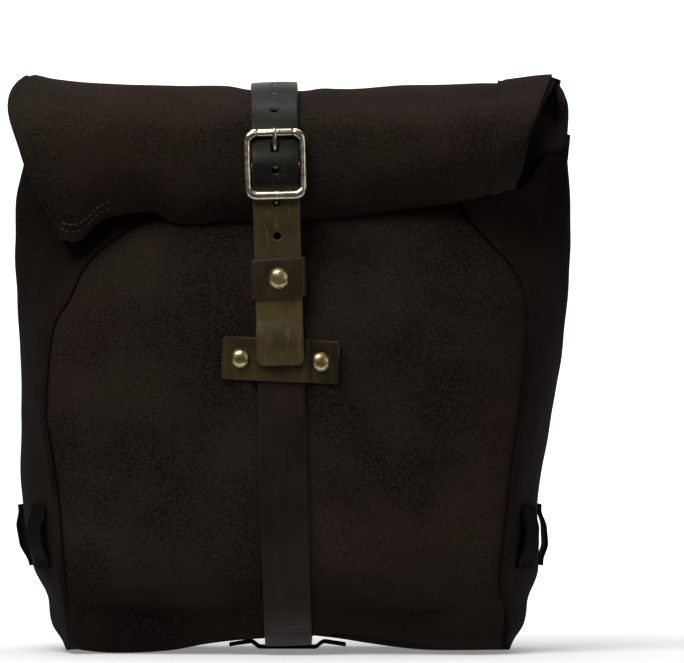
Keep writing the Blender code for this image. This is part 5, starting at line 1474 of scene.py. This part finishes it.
def cross_patch():
    """The riveted patch that holds the belt to the front: dipped at its rivets, its ends a little curled."""
    stations = []
    up = (patch_point(0.0, 0.0, 1.0) - patch_point(0.0, 0.0, 0.0)).normalized()
    across = (patch_point(1.0, 0.0) - patch_point(0.0, 0.0)).normalized()
    count, corner = 60, 0.0022
    for k in range(count + 1):
        x = -PATCH_HALF + 2 * PATCH_HALF * k / count
        edge = PATCH_HALF - abs(x)
        trim = 0.0 if edge > corner else corner - math.sqrt(max(0.0, corner ** 2 - (corner - edge) ** 2))
        slope = (patch_y(x + 0.0004) - patch_y(x - 0.0004)) / 0.0008
        out = (Vector((0.0, -1.0, 0.0)) + across * slope).normalized()
        dip = 0.00055 * bell(math.dist((abs(x), 0.0), (RIVET_X, 0.0)), 0.0075)
        curl = -0.0011 * ease(abs(x), 0.031, PATCH_HALF)
        stations.append((patch_point(x, patch_y(x) + dip + curl), up, out, PATCH_HEIGHT / 2 - trim))
    piece = band("cross_patch_leather", stations, PATCH, ("patch_leather", "belt_edge"), 0.0008, columns=14)
    place(piece, "bag", "belt_leather", "cross_patch")
    for name, side in (("left", -1), ("right", 1)):
        seat = patch_point(side * RIVET_X, patch_y(RIVET_X) - PATCH / 2 + 0.0001)
        rivet(f"cross_rivet_cap_{name}", seat, (0.0, -1.0, 0.0), "bag", f"cross_rivet_{name}")


# Webbing and the back's loop -----------------------------------------------------------------
def side_loop(name, side, s_centre):
    """A webbing loop on a gusset, sewn down at its two ends."""
    low, high, gap = 0.055, 0.095, 0.0032
    count = 40
    centre_line = []
    for k in range(count + 1):
        z = low + (high - low) * k / count
        p = gusset_point(side, z, s_centre)
        a, b = gusset_point(side, z, s_centre - 0.03), gusset_point(side, z, s_centre + 0.03)
        across = (b - a).normalized()
        out = across.cross(Vector((0.0, 0.0, 1.0)))
        out = out if out.x * side > 0 else -out
        end = min(z - low, high - z)
        lift = WEBBING / 2 + 0.0009 + gap * ease(end, 0.003, 0.015)
        centre_line.append((p + out * lift, across, out, 0.0125))
    stations = []
    for i, (centre, across, out, half) in enumerate(centre_line):
        ahead, behind = centre_line[min(i + 1, count)][0], centre_line[max(0, i - 1)][0]
        way = (ahead - behind).normalized()
        normal = across.cross(way).normalized()
        stations.append((centre, across, normal if normal.dot(out) > 0 else -normal, half))
    piece = band(f"{name}_web", stations, WEBBING, ("webbing",), radius=0.0006, crown=0.0, columns=10)
    place(piece, "bag", "webbing", name)
    seams = []
    for i in (1, 3, count - 3, count - 1):
        centre, across, out, half = stations[i]
        surface = centre + out * WEBBING / 2
        seams.append([(surface + across * (half * 0.86 * t), out) for t in (-1, -0.5, 0, 0.5, 1)])
    stitches(f"{name}_stitches", seams, "bag", 0.0003, 0.0022, 0.0028, "webbing")


def bottom_loop():
    """Webbing across the bottom, which the belt runs through."""
    belt_low = floor_z(0.0) - BELT_AIR - BELT_UNDER - BELT
    drop = belt_low - BELT_LEAN * BELT_WIDTH / 2 - 0.0004 - WEBBING / 2
    stations = []
    for k in range(61):
        x = 0.0375 * (2 * k / 60 - 1)
        level = []
        for at in (x - 0.0005, x, x + 0.0005):
            beside = min(floor_z(at), front_floor(at)) - WEBBING / 2 - 0.0004
            level.append(drop + (beside - drop) * ease(abs(at), 0.0175, 0.0240))
        out = Vector((level[2] - level[0], 0.0, -0.001)).normalized()
        stations.append((Vector((x, -0.033, level[1])), Vector((0.0, 1.0, 0.0)), out, 0.015))
    piece = band("bottom_loop_web", stations, WEBBING, ("webbing",), radius=0.0006, crown=0.0, columns=10)
    place(piece, "bag", "webbing", "bottom_loop")


def back_loop():
    """A leather keeper on the back that the belt runs up behind."""
    belt_out = BACK_Y + BELT_AIR + BELT + 0.0004
    centre_z, thick, height = 0.218, 0.0020, 0.030
    centre_x = BELT_FOOT.x - BELT_LEAN * (centre_z - BELT_FOOT.z)
    raised, flat = belt_out + GAP + thick / 2, BACK_Y + 0.0004 + thick / 2
    stations = []
    for k in range(61):
        x = 0.034 * (2 * k / 60 - 1)
        depth = []
        for at in (x - 0.0005, x, x + 0.0005):
            depth.append(raised + (flat - raised) * ease(abs(at), 0.0172, 0.0217))
        out = Vector((-(depth[2] - depth[0]), 0.001, 0.0)).normalized()
        centre = Vector((centre_x + x, depth[1], centre_z))
        stations.append((centre, Vector((0.0, 0.0, 1.0)), out, height / 2))
    piece = band("back_loop_leather", stations, thick, ("belt_black", "belt_edge"), 0.0008, columns=12)
    place(piece, "bag", "belt_leather", "back_loop")
    seams = []
    surface = BACK_Y + 0.0004 + thick + 0.0001
    for x in (-0.0305, -0.0275, 0.0275, 0.0305):
        seam = []
        for z in (-0.0125, -0.006, 0.0, 0.006, 0.0125):
            seam.append((Vector((centre_x + x, surface, centre_z + z)), Vector((0.0, 1.0, 0.0))))
        seams.append(seam)
    stitches("back_loop_stitches", seams, "bag", 0.0004, 0.0026, 0.0034)


# Stitching on the leather --------------------------------------------------------------------
def hem_stitches(path, ways):
    """A double row of short stitches round the roll's lower left corner."""
    seams = []
    for inset in (0.0042, 0.0082):
        seam = []
        for k in range(30):
            t = k / 29
            x = -0.1490 + inset * 0.6 + (0.0350 - inset * 0.5) * t
            z = roll_low(x) + inset + 0.0010 + 0.0030 * (1 - t) ** 2
            found = roll_front(path, ways, x, z)
            if found:
                p, out = found
                seam.append((p + out * 0.0004, out))
        seams.append(seam)
    stitches("hem_stitches", seams, "roll_top", 0.00038, 0.0026, 0.0036)


def back_stitches():
    """A row up each side of the back panel."""
    inset, low, high = 0.0060, 0.030, 0.312
    seams = []
    for side in (-1, 1):
        seam = []
        for k in range(40):
            z = low + (high - low) * k / 39
            x = side * (widest(z) - BACK_INSET - inset)
            seam.append((Vector((x, BACK_Y + 0.0001, z)), Vector((0.0, 1.0, 0.0))))
        seams.append(seam)
    stitches("back_seam_stitches", seams, "bag", 0.0004, 0.0036, 0.0050)


# CAD pieces that keep their shape ------------------------------------------------------------
def hard_finish(name):
    """The finish of a CAD piece that keeps its shape, or None for a piece that is replaced."""
    finishes = (("steel", ("top_screw", "lower_screw", "top_nut", "lower_nut", "latch_pin",
                           "lower_hook_bolt")),
                ("aluminium", ("top_rail", "lower_rail")),
                ("nylon", ("hook_", "latch_left", "latch_right", "lower_hook")),
                ("brass", ("cross_burr",)),
                ("board", ("back_board",)))
    for finish, starts in finishes:
        if name.startswith(starts):
            return finish
    return None


def keep_hardware():
    """Gives the CAD's hard pieces their finishes and slightly rounded edges."""
    for name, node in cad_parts.items():
        finish = hard_finish(name)
        if finish is None:
            continue
        node.data.materials.clear()
        node.data.materials.append(MATERIALS[finish])
        for polygon in node.data.polygons:
            polygon.material_index = 0
        round_edges(node, 0.0004 if finish in ("nylon", "aluminium") else 0.00015, 40)


# Studio --------------------------------------------------------------------------------------
def sweep():
    """A pale floor that curves up into a backdrop."""
    near, bend_start, radius, top, half = -0.30, 1.2, 0.8, 1.5, 0.6
    path = [(near, 0.0)]
    for k in range(17):
        angle = math.pi / 2 * k / 16
        path.append((bend_start + radius * math.sin(angle), radius - radius * math.cos(angle)))
    path.append((bend_start + radius, top))
    vertices = [(x, y, z - 0.0002) for y, z in path for x in (-half, half)]
    faces = [(2 * i, 2 * i + 1, 2 * i + 3, 2 * i + 2) for i in range(len(path) - 1)]
    mesh = bpy.data.meshes.new("studio_floor")
    mesh.from_pydata(vertices, [], faces)
    mesh.shade_smooth()
    look = Look("studio_floor", roughness=0.9, specular=0.1)
    look.colour(look.ramp(look.noise(3.0), ((0.3, 0.83), (0.7, 0.86))))
    glow = look.ramp(look.spread(look.height("Y"), 0.08, 0.50), ((0.0, 0.24), (1.0, 0.85)))
    look.links.new(glow, look.shader.inputs["Emission Color"])
    look.shader.inputs["Emission Strength"].default_value = 1.0
    mesh.materials.append(look.material)
    floor = bpy.data.objects.new("studio_floor", mesh)
    SCENE.collection.objects.link(floor)


def lamp(name, location, target, size, power, colour=(1.0, 1.0, 1.0)):
    """A soft rectangular light turned towards a target."""
    data = bpy.data.lights.new(name, "AREA")
    data.shape = "RECTANGLE"
    data.size, data.size_y = size
    data.energy = power
    data.color = colour
    light = bpy.data.objects.new(name, data)
    light.location = location
    light.rotation_euler = (Vector(target) - Vector(location)).to_track_quat("-Z", "Y").to_euler()
    SCENE.collection.objects.link(light)


def studio():
    """Soft light from the upper left and from above, a weak fill, and a long lens square to the front."""
    sweep()
    lamp("key", (-0.42, -0.80, 1.15), (0.0, 0.0, 0.25), (0.8, 0.6), 14.5, (1.0, 0.985, 0.96))
    lamp("fill", (1.4, -1.3, 0.7), (0.0, 0.0, 0.2), (0.9, 1.2), 4.5, (0.96, 0.98, 1.0))
    lamp("top", (0.1, 0.3, 1.7), (0.0, 0.0, 0.3), (1.4, 1.0), 13.0)
    world = bpy.data.worlds.new("studio")
    world.use_nodes = True
    background = world.node_tree.nodes["Background"]
    background.inputs["Color"].default_value = (1.0, 1.0, 1.0, 1.0)
    background.inputs["Strength"].default_value = 0.10
    SCENE.world = world
    SCENE.view_settings.view_transform = "Standard"
    view_width, distance, front = 0.4364, 4.50, -0.090
    data = bpy.data.cameras.new("camera")
    data.sensor_width = 36.0
    data.lens = data.sensor_width * distance / view_width
    data.clip_start, data.clip_end = 0.05, 20.0
    camera = bpy.data.objects.new("camera", data)
    camera.location = (0.0351, front - distance, 0.2077)
    camera.rotation_euler = (math.pi / 2, 0.0, 0.0)
    SCENE.collection.objects.link(camera)
    SCENE.camera = camera


def build():
    """Everything in the scene, in the order it is made."""
    studio()
    keep_hardware()
    front_panel()
    gusset("gusset_skin_left", -1, "left_gusset")
    gusset("gusset_skin_right", 1, "right_gusset")
    back_panel()
    bottom_panel()
    liner()
    path, ways = roll()
    ear(path, ways)
    pleat()
    side_tuck("roll_tuck_left", -1)
    side_tuck("roll_tuck_right", 1)
    collar()
    belt_over()
    belt_back_top()
    belt_lower()
    buckle_strap()
    buckle_wire()
    buckle_bar(at_belt(BAR_U, BAR_W))
    buckle_roller()
    buckle_prong(at_belt(BAR_U, BAR_W))
    keeper()
    fold_rivet()
    cross_patch()
    for word, side in (("left", -1), ("right", 1)):
        side_loop(f"side_loop_{word}_front", side, 0.16)
        side_loop(f"side_loop_{word}_rear", side, 0.62)
    bottom_loop()
    back_loop()
    hem_stitches(path, ways)
    back_stitches()


build()
